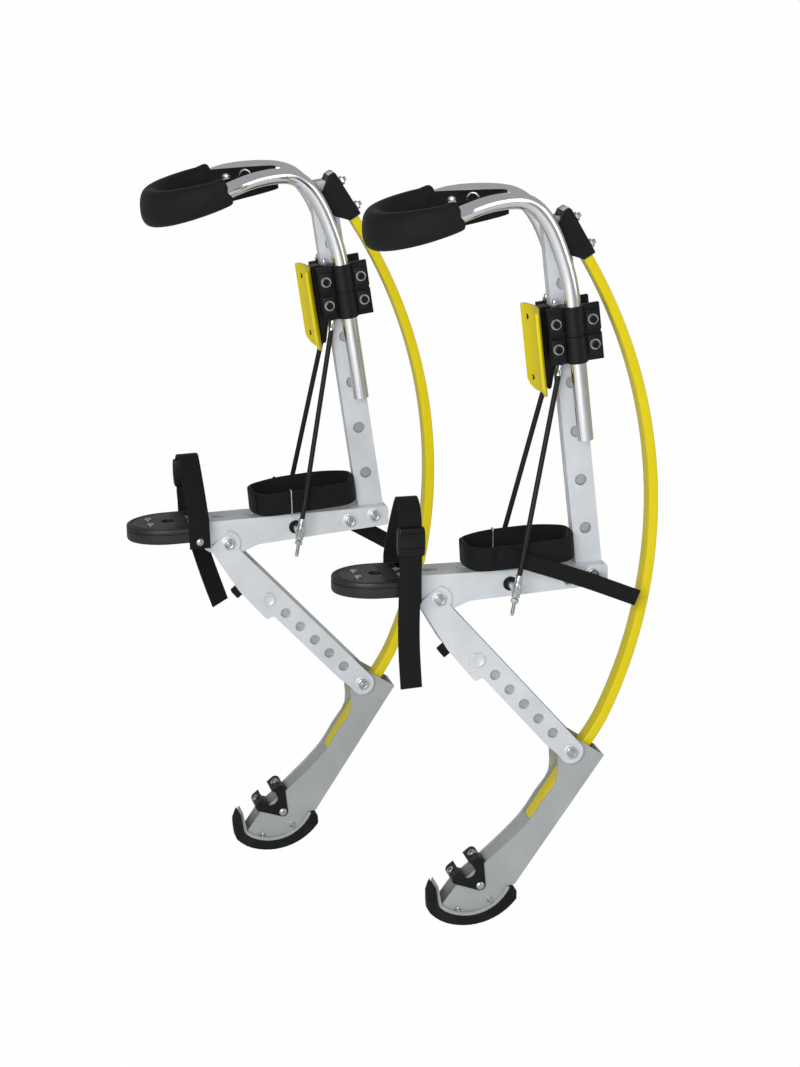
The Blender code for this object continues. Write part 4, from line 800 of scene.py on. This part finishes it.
def addHeelTail(side):
    stilt = stilts[side]
    y = stilt["outer"] * (heelStrap["half"] + webbing["thick"] / 2 + 0.0003 + webbing["tailThick"] / 2)
    way = np.array(slope(-stilt["heelSlope"]))
    share = np.linspace(0, 1, 60)
    run = share * (heelStrap["tailLength"] - 0.001)
    path = np.column_stack((heelStrap["tailStart"] + run * way[0],
                            y + stilt["outer"] * 0.0012 * np.sin(share * 5) ** 2,
                            heelStrap["tailLevel"] + run * way[1] + 0.0022 * np.sin(share * math.pi)))
    strap = strapShell(path, heelStrap["tailWidth"] - 0.0005, webbing["tailThick"], (0, 0, 1))
    addStrap("heel_tail_webbing", side, [strap], "frames", ("heel_strap_tail",))


kneeStrap = {"half": 0.04922, "back": 0.088, "height": 0.030, "level": 0.472, "slope": 5.0, "thick": 0.003,
             "start": 0.004, "rivet": (0.030, 0.0058, 0.0026), "ring": (0.054, 0.0075, 0.0013)}


def strapHalf(x):  # half * (rest + sqrt(rest)) / 2, rest = share of the way left to the fold
    rest = np.clip((kneeStrap["back"] - x) / (kneeStrap["back"] - kneeStrap["start"]), 0, 1)
    return kneeStrap["half"] * (rest + np.sqrt(rest)) / 2


def addKneeStrap(side):
    c, s = slope(kneeStrap["slope"])
    run = kneeStrap["back"] - (kneeStrap["back"] - kneeStrap["start"]) * np.linspace(1, 0, 60) ** 2
    line = np.column_stack((run, strapHalf(run)))
    plan = evenly(np.vstack((line * (1, -1), line[-2::-1])), 130)

    def tilted(x, y, z=0.0):  # along the strap's slope and square to it
        return np.stack(np.broadcast_arrays(x * c - z * s, y, kneeStrap["level"] + x * s + z * c), -1)

    def inside(x, depth, sign):  # a point that far inside the strap's middle, the ways inwards and along
        way = unit(np.array((0.002, strapHalf(x + 0.001) - strapHalf(x - 0.001))))
        spot = np.array((x, strapHalf(x))) + depth * np.array((way[1], -way[0]))
        return spot * (1, sign), np.array((way[1], -way[0])) * (1, sign), way * (1, sign)

    strap = strapShell(tilted(*plan.T), kneeStrap["height"] - 0.001, kneeStrap["thick"], (-s, 0, c))
    addStrap("knee_strap_webbing", side, [strap], "knee_bar", ("knee_strap",))
    heads, rings, keepers = [], [], []
    for sign in (-1, 1):
        place, wide, tall = kneeStrap["rivet"]
        spot, inward, _ = inside(place, kneeStrap["thick"] / 2, sign)
        heads.append(domed(tilted(*spot, 0.003), tilted(*inward) - tilted(0.0, 0.0), wide, tall))
        place, wide, wire = kneeStrap["ring"]  # wire ring, and the webbing loop that holds it
        spot, inward, along = inside(place, kneeStrap["thick"] / 2 + wire + 0.0004, sign)
        turn = np.linspace(0, math.tau, 40, endpoint=False)
        flat = spot + wide * np.cos(turn)[:, None] * along
        bent = tilted(*flat.T, 0.004 + wide * np.sin(turn))
        rings.append(shell(carried(bent, circle(wire, 12), across, True), True))
        share = np.linspace(0, 1, 24)
        hold = spot + (share[:, None] * 0.020 - 0.011 - wide) * along
        hold = hold + (0.0022 * np.sin(share * math.pi) - wire - 0.0002)[:, None] * inward
        keepers.append(strapShell(tilted(*hold.T, 0.004), 0.012, 0.0012, (-s, 0, c)))
    put("knee_strap_rivets", side, heads, "zincPlate", "knee_bar")
    put("knee_strap_rings", side, rings, "zincPlate", "knee_bar")
    addStrap("knee_strap_keepers", side, keepers, "knee_bar")


# spring: head under the bracket, bow in two lengths, foot in the leg

spring = {"width": 0.025, "thick": 0.012, "round": 0.0022, "head": 0.066, "pull": (0.2621, 0.2014),
          "footStart": 0.024, "foot": 0.078, "inset": 0.0225, "forward": 0.0055, "forwardFrom": 0.86,
          "share": 0.8, "upper": (36.81, 0.8595), "lower": (55.78, 0.3568)}  # axis in degrees, keep


def addSpring(side):
    bowStart = onHead(spring["head"], 0.0)
    footStart = onLeg(spring["footStart"], -spring["inset"])
    footEnd = onLeg(spring["footStart"] + spring["foot"], -spring["inset"])
    pullHead, pullFoot = spring["pull"]
    control = np.stack((bowStart, bowStart + headWay * pullHead, footStart - legWay * pullFoot, footStart))
    profile = bar(spring["width"], spring["thick"], spring["round"])

    def bow(first, last, count):  # cubic Bezier between two shares
        t = np.linspace(first, last, count)[:, None]
        weight = np.hstack(((1 - t) ** 3, 3 * (1 - t) ** 2 * t, 3 * (1 - t) * t ** 2, t ** 3))
        start = spring["forwardFrom"]  # from here on eased forward in the leg
        late = np.clip((t - start) / (1 - start), 0, 1)
        flat = weight @ control + spring["forward"] * late ** 2 * (3 - 2 * late) * legFront
        return np.column_stack((flat[:, 0], np.zeros(count), flat[:, 1]))

    def leaf(path):
        return [shell(carried(path, profile, across))]

    head = np.linspace(deep(onHead(0.0, 0.0), 0.0), deep(bowStart, 0.0), 6)
    foot = np.linspace(deep(footStart, 0.0), deep(footEnd, 0.0), 6) + spring["forward"] * wayOf(legFront)
    upper, lower = bow(0.0, spring["share"], 100), bow(spring["share"], 1.0, 40)
    bows = (("spring_upper_bow", upper, "frames", bowStart, spring["upper"]),
            ("spring_lower_bow", lower, "leg", footStart, spring["lower"]))
    put("spring_head", side, leaf(head), "springGloss", "frames", ("spring",))
    put("spring_foot", side, leaf(foot), "springGloss", "leg", ("spring",))
    for name, path, body, anchor, (angle, keep) in bows:
        made = put(name, side, leaf(path), "springGloss", body, ("spring",))
        axis = stilts[side]["stand"][:3, :3] @ wayOf(slope(angle))
        hold = stand(deep(anchor, 0.0), stilts[side])
        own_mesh(made)


# tie cables: taut sheathed stays from the clamps to the anchor rod

cables = {"radius": 0.0032, "topBack": -0.014, "topHalf": 0.0185, "anchor": (0.090, 0.013),
          "footHalf": 0.055, "eye": 0.018, "eyeRadius": 0.0058, "tail": 0.022, "rod": 0.0045,
          "rodHalf": 0.061, "nut": (0.0088, 0.0050), "grommet": 0.0238,
          "thread": (0.0023, 0.00028, 0.0010)}  # radius, depth, pitch


def cableEnds(sign):
    top = onUpright(cables["topBack"], clamp["foot"] - 0.0003 - 0.3 * cables["radius"])
    return deep(top, sign * cables["topHalf"]), deep(cables["anchor"], sign * cables["footHalf"])


def addCable(side, name, sign):
    head, foot = cableEnds(sign)
    way = unit(head - foot)
    low = foot + way * (cables["eye"] / 2 + 0.0003)
    path = np.linspace(head, low, 30)
    sheath = shell(carried(path, circle(cables["radius"], 20), across))
    made = put(f"{name}_sheath", side, [sheath], "cableSheath", "frames", (name,))
    upper = mm((3.3, 0), (4.0, 0.4), (4.0, 4.5), (3.5, 5.2), (3.5, 13.2), (2.0, 13.2))
    lower = mm((2.0, 0), (4.2, 0.2), (4.4, 0.8), (4.4, 8.5), (4.0, 9.5), (3.3, 9.8))
    collars = [turned(head - way * 0.014, way, upper, 28), turned(low - way * 0.0002, way, lower, 28)]
    put(f"{name}_ferrules", side, collars)
    route = stand(path, stilts[side])
    float(np.linalg.norm(head - low))


def addAnchor(side):  # cross rod, and on each end an eye, a nut and a threaded tail
    x, z = cables["anchor"]
    half, radius = cables["rodHalf"], cables["rod"]
    rows = [(radius * 0.3, 0), (radius * 0.8, 0), (radius, 0.0008), (radius, 2 * half - 0.0008),
            (radius * 0.8, 2 * half), (radius * 0.3, 2 * half)]
    shells = [turned((x, -half, z), across, rows, 28)]
    for sign in (-1, 1):
        head, foot = cableEnds(sign)
        way = unit(head - foot)
        eye, out = cables["eyeRadius"], cables["eye"] / 2
        rows = [(0.002, 0), (eye * 0.75, 0), (eye * 0.9, 0.0015), (eye * 0.85, 0.004), (eye, 0.0055),
                (eye, 2 * out - 0.0055), (eye * 0.82, 2 * out - 0.004), (eye * 0.78, 2 * out),
                (0.002, 2 * out)]
        shells.append(turned(foot - way * out, way, rows, 32))
        shells.append(hexHead(foot - way * (out + 0.0062), way, *cables["nut"]))
        run = np.linspace(0, cables["tail"] - 0.0005, 110)
        core, depth, pitch = cables["thread"]
        thread = core + depth * np.sin(run * math.tau / pitch)
        thread[run < 0.002] *= 0.8
        shells.append(turned(foot - way * (out + cables["tail"]), way, list(zip(thread, run)), 18))
    put("cable_anchor_rod", side, shells, replaced=("cable_anchor",))
    rows = mm((4.6, 0), (8.5, 0), (9.0, 0.8), (8.4, 2.2), (6.5, 2.6), (4.6, 2.4))
    grommets = [turned((x, sign * cables["grommet"], z), (0, sign, 0), rows, 32) for sign in (-1, 1)]
    put("anchor_grommets", side, grommets, "hoofRubber")


# tube clamps: a saddle outline drawn up the rail, with a groove at half height and four pads with screws

clamp = {"foot": 0.268, "height": 0.070, "half": 0.033, "saddle": (0.0165, 0.0093, 0.0215), "wall": 0.0033,
         "groove": 0.0011, "screwBack": 0.0229, "screwUp": 0.0155, "pad": (0.0165, 0.0240, 0.0022),
         "bulgeFrom": 6.5, "washer": (0.0066, 0.0009), "nut": (0.0094, 0.0050, 0.0030)}


def clampOutline(sign):
    saddle, foot, low = clamp["saddle"]
    outside = tubes["radius"] + clamp["wall"]
    turn = np.radians(np.linspace(clamp["bulgeFrom"], 180 - clamp["bulgeFrom"], 26))
    bulge = np.column_stack((np.cos(turn), np.sin(turn))) * outside + (tubes["back"], tubeHalf - 0.0015)
    front, rear = tubes["back"] - clamp["half"], tubes["back"] + clamp["half"]
    corners = np.vstack(((front, low), (-saddle, low), (-saddle, foot), (saddle, foot), (saddle, low),
                         (rear, low), (rear, tubeHalf), bulge, (front, tubeHalf)))
    return corners * (1, sign)


def drawnIn(outline, inset):  # each point moved inwards along the mean of its two edges' normals
    ahead, behind = np.roll(outline, -1, 0) - outline, outline - np.roll(outline, 1, 0)
    way = unit(unit(ahead) + unit(behind))
    area = np.sum(outline[:, 0] * np.roll(outline[:, 1], -1) - outline[:, 1] * np.roll(outline[:, 0], -1))
    return outline + np.sign(area) * inset * np.column_stack((-way[:, 1], way[:, 0]))


def addClamp(side, name, sign):
    outline, g, h = clampOutline(sign), clamp["groove"], clamp["height"]
    upper = np.array((0.0014, 0.0020, h / 2 - 0.0008, h / 2))
    level = h / 2 + np.concatenate((-upper[::-1], upper))
    inset = np.array((0.0007, 0.0, 0.0, g, g, 0.0, 0.0, 0.0007))
    rows = np.stack([drawnIn(outline, i) for i in inset])
    grid = stacked(rows, clamp["foot"] + level)
    pads, screws, rings = [], [], []
    outWay, socket = (0.0, sign, 0.0), hexEdge(4.2)
    screw = mm((4.4, 0), (4.6, 0.3), (4.6, 3.0), (4.1, 3.6), (2.6, 3.6), (socket, 3.4), (socket, 1.2),
               (0.2, 1.0))
    for back in (-1, 1):
        for up in (-1, 1):
            u = tubes["back"] + back * clamp["screwBack"]
            w = clamp["foot"] + h / 2 + up * clamp["screwUp"]
            wide, tall, thick = clamp["pad"]
            face = tubeHalf + thick
            low, high = (u - wide / 2, w - tall / 2, tubeHalf - 0.0005), (u + wide / 2, w + tall / 2, face)
            pads.append(block(low, high, 0.0012, lambda grid: placed(onUpright)(grid * (1, 1, sign))))
            seat = railPoints(np.array((u, sign * face, w)))
            rings.append(washer(seat, outWay, *clamp["washer"]))
            screws.append(turned(seat + np.array(outWay) * clamp["washer"][1], outWay, screw))
    crown = railPoints(np.array((cables["topBack"], sign * cables["topHalf"], clamp["foot"] + h)))
    put(f"{name}_nut", side, nutOnStud(crown, wayOf(upWay), *clamp["nut"]))
    put(f"{name}_saddle", side, [shell(railPoints(grid))] + pads, "blackCoat", "frames", (name,))
    put(f"{name}_screw_heads", side, screws, "blackCoat")
    put(f"{name}_washers", side, rings)


# bolts, pins and small fasteners

bolts = {"flats": 0.013, "height": 0.0055, "washer": 0.0098, "thick": 0.0012, "frameHalf": 0.024,
         "frameBolt": (0.162, 0.0145)}
linkParts = {"pin": (0.0935, -0.0135), "shadeLinerLow": (0.113, -0.018), "shadeLinerHigh": (0.247, 0.004),
             "shadeLinerHalf": 0.0237, "shadeLinerThick": 0.001}
headParts = {"nuts": (0.0104, 0.0482), "face": 0.0103, "plugLow": (-0.0078, 0.0008, -0.0085),
             "plugHigh": (-0.0066, 0.0086, 0.0085), "nut": (0.010, 0.0050, 0.0030),
             "washer": (0.0068, 0.0010)}
legParts = {"half": 0.022, "narrowing": 0.0248, "head": 0.0165, "earSlope": 37.7,  # narrowing per metre down
            "ears": ((0.182, 0.0163), (0.2145, 0.0269)), "rivet": (0.2067, -0.0036), "rivetPlate": 0.0030,
            "rimNuts": ((0.0698, -0.4039), (0.0271, -0.4149)), "hoof": (0.041, -0.362), "nutHalf": 0.0172,
            "rimNut": (0.0070, 0.0030, 0.0019), "rivetHead": (0.0054, 0.0024), "washer": (0.0062, 0.0010),
            "front": ((0.100, -0.0092), (0.112, -0.0080), (0.125, -0.0056), (0.139, -0.0027), (0.160, 0.0027),
                      (0.180, 0.0082)),
            "lining": (0.1024, 0.178), "liningWidth": 0.037, "liningThick": 0.0018, "behind": 0.0032}


def addBolt(name, side, xz, half, body, replaced=()):  # hex head and washer on both cheeks
    heads, rings = [], []
    for sign in (-1, 1):
        seat = deep(xz, sign * half)
        way = (0.0, sign, 0.0)
        rings.append(washer(seat, way, bolts["washer"], bolts["thick"]))
        foot = seat + np.array(way) * bolts["thick"]
        heads.append(hexHead(foot, way, bolts["flats"], bolts["height"] - 0.0008))
        stud = foot + np.array(way) * (bolts["height"] - 0.0012)
        heads.append(turned(stud, way, mm((3.8, 0), (3.8, 0.3), (3.0, 0.6), (0.4, 0.6)), 24))
    put(f"{name}_heads", side, heads, body=body, replaced=replaced)
    put(f"{name}_washers", side, rings, "silverCoat", body)


def addBolts(side):
    addBolt("link_bolt", side, onLink(0.0, 0.0), linkHalf, "link", ("link_bolt",))
    addBolt("leg_bolt", side, onLink(linkLength, 0.0), linkHalf, "leg", ("leg_bolt",))
    addBolt("heel_bolt", side, onUpright(0.0, 0.0), bolts["frameHalf"], "frames", ("heel_bolt",))
    addBolt("frame_bolt", side, bolts["frameBolt"], bolts["frameHalf"], "frames")


def addLinkParts(side):  # heads of the stop pin, and a thin liner behind each row of holes, in the darker silver so the holes read as dark hollows: painted shade
    pin = onLink(*linkParts["pin"])
    rows = mm((8.0, -4.0), (9.0, 0), (9.5, 0.5), (9.5, 2.2), (8.8, 3.0), (7.0, 3.1), (6.3, 2.6), (0.4, 2.6))
    heads = [turned(deep(pin, s * linkHalf), (0, s, 0), rows) for s in (-1, 1)]
    put("link_pin_heads", side, heads, "silverCoat", "link", ("link_pin",))
    low, high, thick = linkParts["shadeLinerLow"], linkParts["shadeLinerHigh"], linkParts["shadeLinerThick"] / 2
    shadeLiners = [block((*low, y - thick), (*high, y + thick), 0.0004, placed(onLink))
              for y in (-linkParts["shadeLinerHalf"], linkParts["shadeLinerHalf"])]
    put("link_hole_shade_liners", side, shadeLiners, "dullSilver", "link")


def addHeadParts(side):  # nuts on the bracket that holds the spring's head, and a plug in its open end
    face, nuts = headParts["face"], []
    for along in headParts["nuts"]:
        nuts += nutOnStud(deep(onHead(along, face), 0.0), wayOf(headOut), *headParts["nut"])
        nuts.append(washer(deep(onHead(along, face - 0.0004), 0.0), wayOf(headOut), *headParts["washer"]))
    put("bracket_nuts", side, nuts)
    plug = block(headParts["plugLow"], headParts["plugHigh"], 0.0004, placed(onHead))
    put("bracket_plug", side, [plug], "silverCoat")


def legHalf(down):
    return legParts["half"] - legParts["narrowing"] * (down + legParts["head"])


def addLegParts(side):
    facing = wayOf(slope(90 + legParts["earSlope"]))
    ears, socket = [], hexEdge(4.4)
    rows = mm((4.9, 0), (5.1, 0.4), (5.1, 3.6), (4.6, 4.2), (2.8, 4.2), (socket, 4.0), (socket, 1.4),
              (0.3, 1.2))
    for spot in legParts["ears"]:
        seat = deep(onLeg(*spot), 0.0) + facing * 0.0040
        ears.append(washer(seat, facing, *legParts["washer"]))
        ears.append(turned(seat + facing * legParts["washer"][1], facing, rows))
    put("spring_clamp_screws", side, ears, body="leg")
    wide = legHalf(legParts["rivet"][0]) + legParts["rivetPlate"]
    tip = onLeg(*legParts["rivet"])
    rivets = [domed(deep(tip, s * wide), (0, s, 0), *legParts["rivetHead"]) for s in (-1, 1)]
    put("spring_clamp_rivets", side, rivets, body="leg")
    studs = []
    for spot in legParts["rimNuts"]:
        inward = wayOf(unit(np.array(legParts["hoof"]) - spot))
        for sign in (-1, 1):
            studs += nutOnStud(deep(spot, sign * legParts["nutHalf"]), inward, *legParts["rimNut"])
    put("rim_nuts", side, studs, body="leg")
    down = np.linspace(*legParts["lining"], 30)[:, None]  # plate behind the leg's front edge
    ahead = np.interp(down, *np.transpose(legParts["front"])) - legParts["behind"]
    path = np.insert(onLeg(down, ahead), 1, 0.0, axis=1)
    grid = carried(path, bar(legParts["liningWidth"], legParts["liningThick"], 0.0004), across)
    grid[..., 1] *= legHalf(down) / legParts["half"]
    # the plate takes the leg's darker silver: painted shade
    put("leg_lining", side, [shell(grid)], "dullSilver", "leg")


# toe plate: a D outline drawn up in steps, with a rim groove, a drilled hole, ribs and screws

toePlate = {"rear": -0.0323, "reach": -0.128, "half": 0.045, "straight": 0.040, "top": 0.030,
            "hole": (-0.074, 0.0085), "ribs": (-0.0660, -0.0500, 0.0031), "ribHalf": 0.034,
            "rib": (0.0022, 0.0022, 0.0009), "corner": 0.004,
            "rows": ((5.0, 20.0), (1.2, 19.8), (0.4, 18.8), (0, 17.0), (0, 7.6), (1.1, 7.0),  # mm in, mm down
                     (1.1, 6.0), (0, 5.4), (0, 2.8), (0.7, 1.0), (2.4, 0), (5.0, 0), (5.4, 1.0), (7.2, 1.0),
                     (7.6, 0.1), (9.0, 0.1)),
            "screws": ((-0.098, 0.0125), (-0.098, -0.0125), (-0.0455, 0.012), (-0.0455, -0.012))}


def plateOutline():
    rear, half = toePlate["rear"], toePlate["half"]
    straight = rear - toePlate["straight"]
    turn = np.linspace(0, math.pi, 60)
    nose = np.column_stack((straight + (toePlate["reach"] - straight) * np.sin(turn), half * np.cos(turn)))
    corner, r = np.linspace(0, math.pi / 2, 6), toePlate["corner"]
    upper = np.column_stack((rear - r + r * np.cos(corner), half - r + r * np.sin(corner)))
    sides = np.linspace((rear - 2 * r, half), (straight + r, half), 8)
    return np.vstack((upper, sides, nose, sides[::-1] * (1, -1), upper[::-1] * (1, -1)))


def addToePlate(side):
    t = toePlate["top"]
    loop = plateOutline()
    inset, low = np.transpose(mm(*toePlate["rows"]))
    grid = stacked(np.stack([drawnIn(loop, i) for i in inset]), t - low)
    x, radius = toePlate["hole"]
    made = put("toe_plate_moulding", side, [shell(grid)], "mouldedBlack", "frames", ("toe_plate",))
    tools = drilled(made, side, [drillTool((x, 0.0, t), (0, 0, 1), radius, 0.05)])
    holed = applied(made)
    made.modifiers.clear()
    made.data = holed
    bpy.data.objects.remove(tools[0])
    wide, ribs = toePlate["ribHalf"], []
    for place in np.arange(*toePlate["ribs"]):
        path = np.linspace((place, -wide, t + 0.0001), (place, wide, t + 0.0001), 25)
        ribs.append(shell(carried(path, bar(*toePlate["rib"]), (1, 0, 0))))
    put("toe_plate_ribs", side, ribs, "mouldedBlack", "frames")
    socket = hexEdge(3.4)
    rows = mm((4.6, 0), (4.6, 1.2), (4.0, 1.9), (2.2, 1.9), (socket, 1.7), (socket, 0.6), (0.3, 0.5))
    heads = [turned((*spot, t - 0.0004), (0, 0, 1), rows) for spot in toePlate["screws"]]
    put("toe_plate_screws", side, heads)


# rigid pieces that keep their solid's shape, with eased edges and round holes

easedPieces = (  # node, finish, body, edge, bend of its sheet, slot
    ("upright", "silverCoat", "frames", 0.0006, 0.0025, None),
    ("foot_frame", "silverCoat", "frames", 0.0008, 0.0028, None),
    ("link", "silverCoat", "link", 0.0008, 0.0028, None),
    # the leg takes the darker silver: painted shade for the light falling off towards the bottom
    ("leg", "dullSilver", "leg", 0.0007, 0.0030, None),
    ("top_bracket", "blackCoat", "frames", 0.0009, None, None),
    ("calf_bracket", "blackCoat", "frames", 0.0012, None, None),
    ("calf_plate", "springGloss", "frames", 0.0010, None, "yellow_plate"),
    ("spring_clamp", "blackCoat", "leg", 0.0008, None, None),
    ("hoof_sole", "hoofRubber", "leg", 0.0012, None, None),
    ("link_bumper", "hoofRubber", "link", 0.0015, None, None),
)
holes = {"upright": (0.055, 0.0617, 6, 0.00735),  # first, pitch, count, radius
         "link": (0.124, 0.0275, 5, 0.0067),
         "linkOffset": -0.009, "reach": 0.06}
hidden = {"core": ((-0.0125, -0.0050, 0.040), (0.0125, 0.0050, 0.385)),  # bar inside the rail: two corners
          "lining": ((-0.020, -0.0195, 0.0215), (0.160, 0.0195, 0.0230))}  # near-black strip under the frame's slots, so the slots read dark: painted shade


def rowOfHoles(node, place):  # drills at first + pitch * k along the rail or the link
    first, pitch, count, radius = holes[node]
    spots = [deep(place(first + pitch * k), 0.0) for k in range(count)]
    return [drillTool(spot, across, radius, holes["reach"]) for spot in spots]


def addEased(side):
    taper = holes["linkOffset"] / (linkLength - holes["link"][0])  # the row runs to the lower pivot
    drills = {"upright": rowOfHoles("upright", lambda up: onUpright(0.0, up)),
              "link": rowOfHoles("link", lambda along: onLink(along, taper * (linkLength - along)))}
    for row in easedPieces:
        eased(side, *row, drills.get(row[0], ()))
    core = block(*hidden["core"], 0.0012, railPoints)
    # the core takes the darker silver: painted shade inside the rail
    put("upright_core", side, [core], "dullSilver")
    # near-black strip under the slots: painted shade inside the frame
    put("frame_slot_shade_strip", side, [block(*hidden["lining"], 0.0005, np.asarray)], "hoofRubber")


calfScrews = {"across": (-0.024, 0.024), "up": (0.246, 0.322), "front": 0.035, "hollow": 0.009, "half": 0.036}


def addCalfScrews(side):  # four countersunk screws; the plate lies at front + hollow * (v / half)^2
    rows = mm((3.6, -1.0), (3.6, 0.2), (3.1, 0.6), (1.6, 0.6), (1.4, 0.1), (0.2, 0.1))
    heads = []
    for v in calfScrews["across"]:
        u = -calfScrews["front"] - calfScrews["hollow"] * (v / calfScrews["half"]) ** 2
        for w in calfScrews["up"]:
            seat = railPoints(np.array((u, v, w)))
            heads.append(turned(seat, wayOf(-backWay), rows, 28))
    put("calf_plate_screws", side, heads, "blackCoat")


for side, stilt in stilts.items():
    for name, sign in (("outer", stilt["outer"]), ("inner", -stilt["outer"])):
        addTube(side, f"knee_tube_{name}", sign)
        addCable(side, f"tie_cable_{name}", sign)
        addClamp(side, f"clamp_{name}", sign)
    addCuff(side)
    addKneeStrap(side)
    addToeStrap(side)
    addToeTail(side)
    addToeKeeper(side)
    addHeelStrap(side)
    addHeelTail(side)
    addSpring(side)
    addAnchor(side)
    addBolts(side)
    addLinkParts(side)
    addHeadParts(side)
    addLegParts(side)
    addToePlate(side)
    addEased(side)
    addCalfScrews(side)
    print(side, "stilt dressed")


# floor

def addFloor():
    low, reach = cadBox[0][2], studio["reach"]
    mesh = bpy.data.meshes.new("floor")
    corners = [(x * reach, y * reach, low) for x, y in ((-1, -1), (1, -1), (1, 1), (-1, 1))]
    mesh.from_pydata(corners, [], [(0, 1, 2, 3)])
    floor = bpy.data.objects.new("floor", mesh)
    bpy.context.scene.collection.objects.link(floor)
    shade = Shade("paleFloor", Base_Color=studio["floor"], Roughness=0.9)
    glow = shade.node("Emission", None, {"Color": (1, 1, 1), "Strength": 1.0})
    path = shade.node("LightPath", out="Is Camera Ray")
    plain = Val(shade, shade.body.outputs[0])
    joined = shade.node("MixShader", None, {0: path * studio["floorGlow"], 1: plain, 2: glow})
    shade.tree.links.new(joined.socket, shade.tree.nodes["Material Output"].inputs["Surface"])
    floor.data.materials.append(shade.owner)


bpy.context.scene.view_settings.view_transform = "Standard"
addCamera()
addLamps()
addSky()
addFloor()
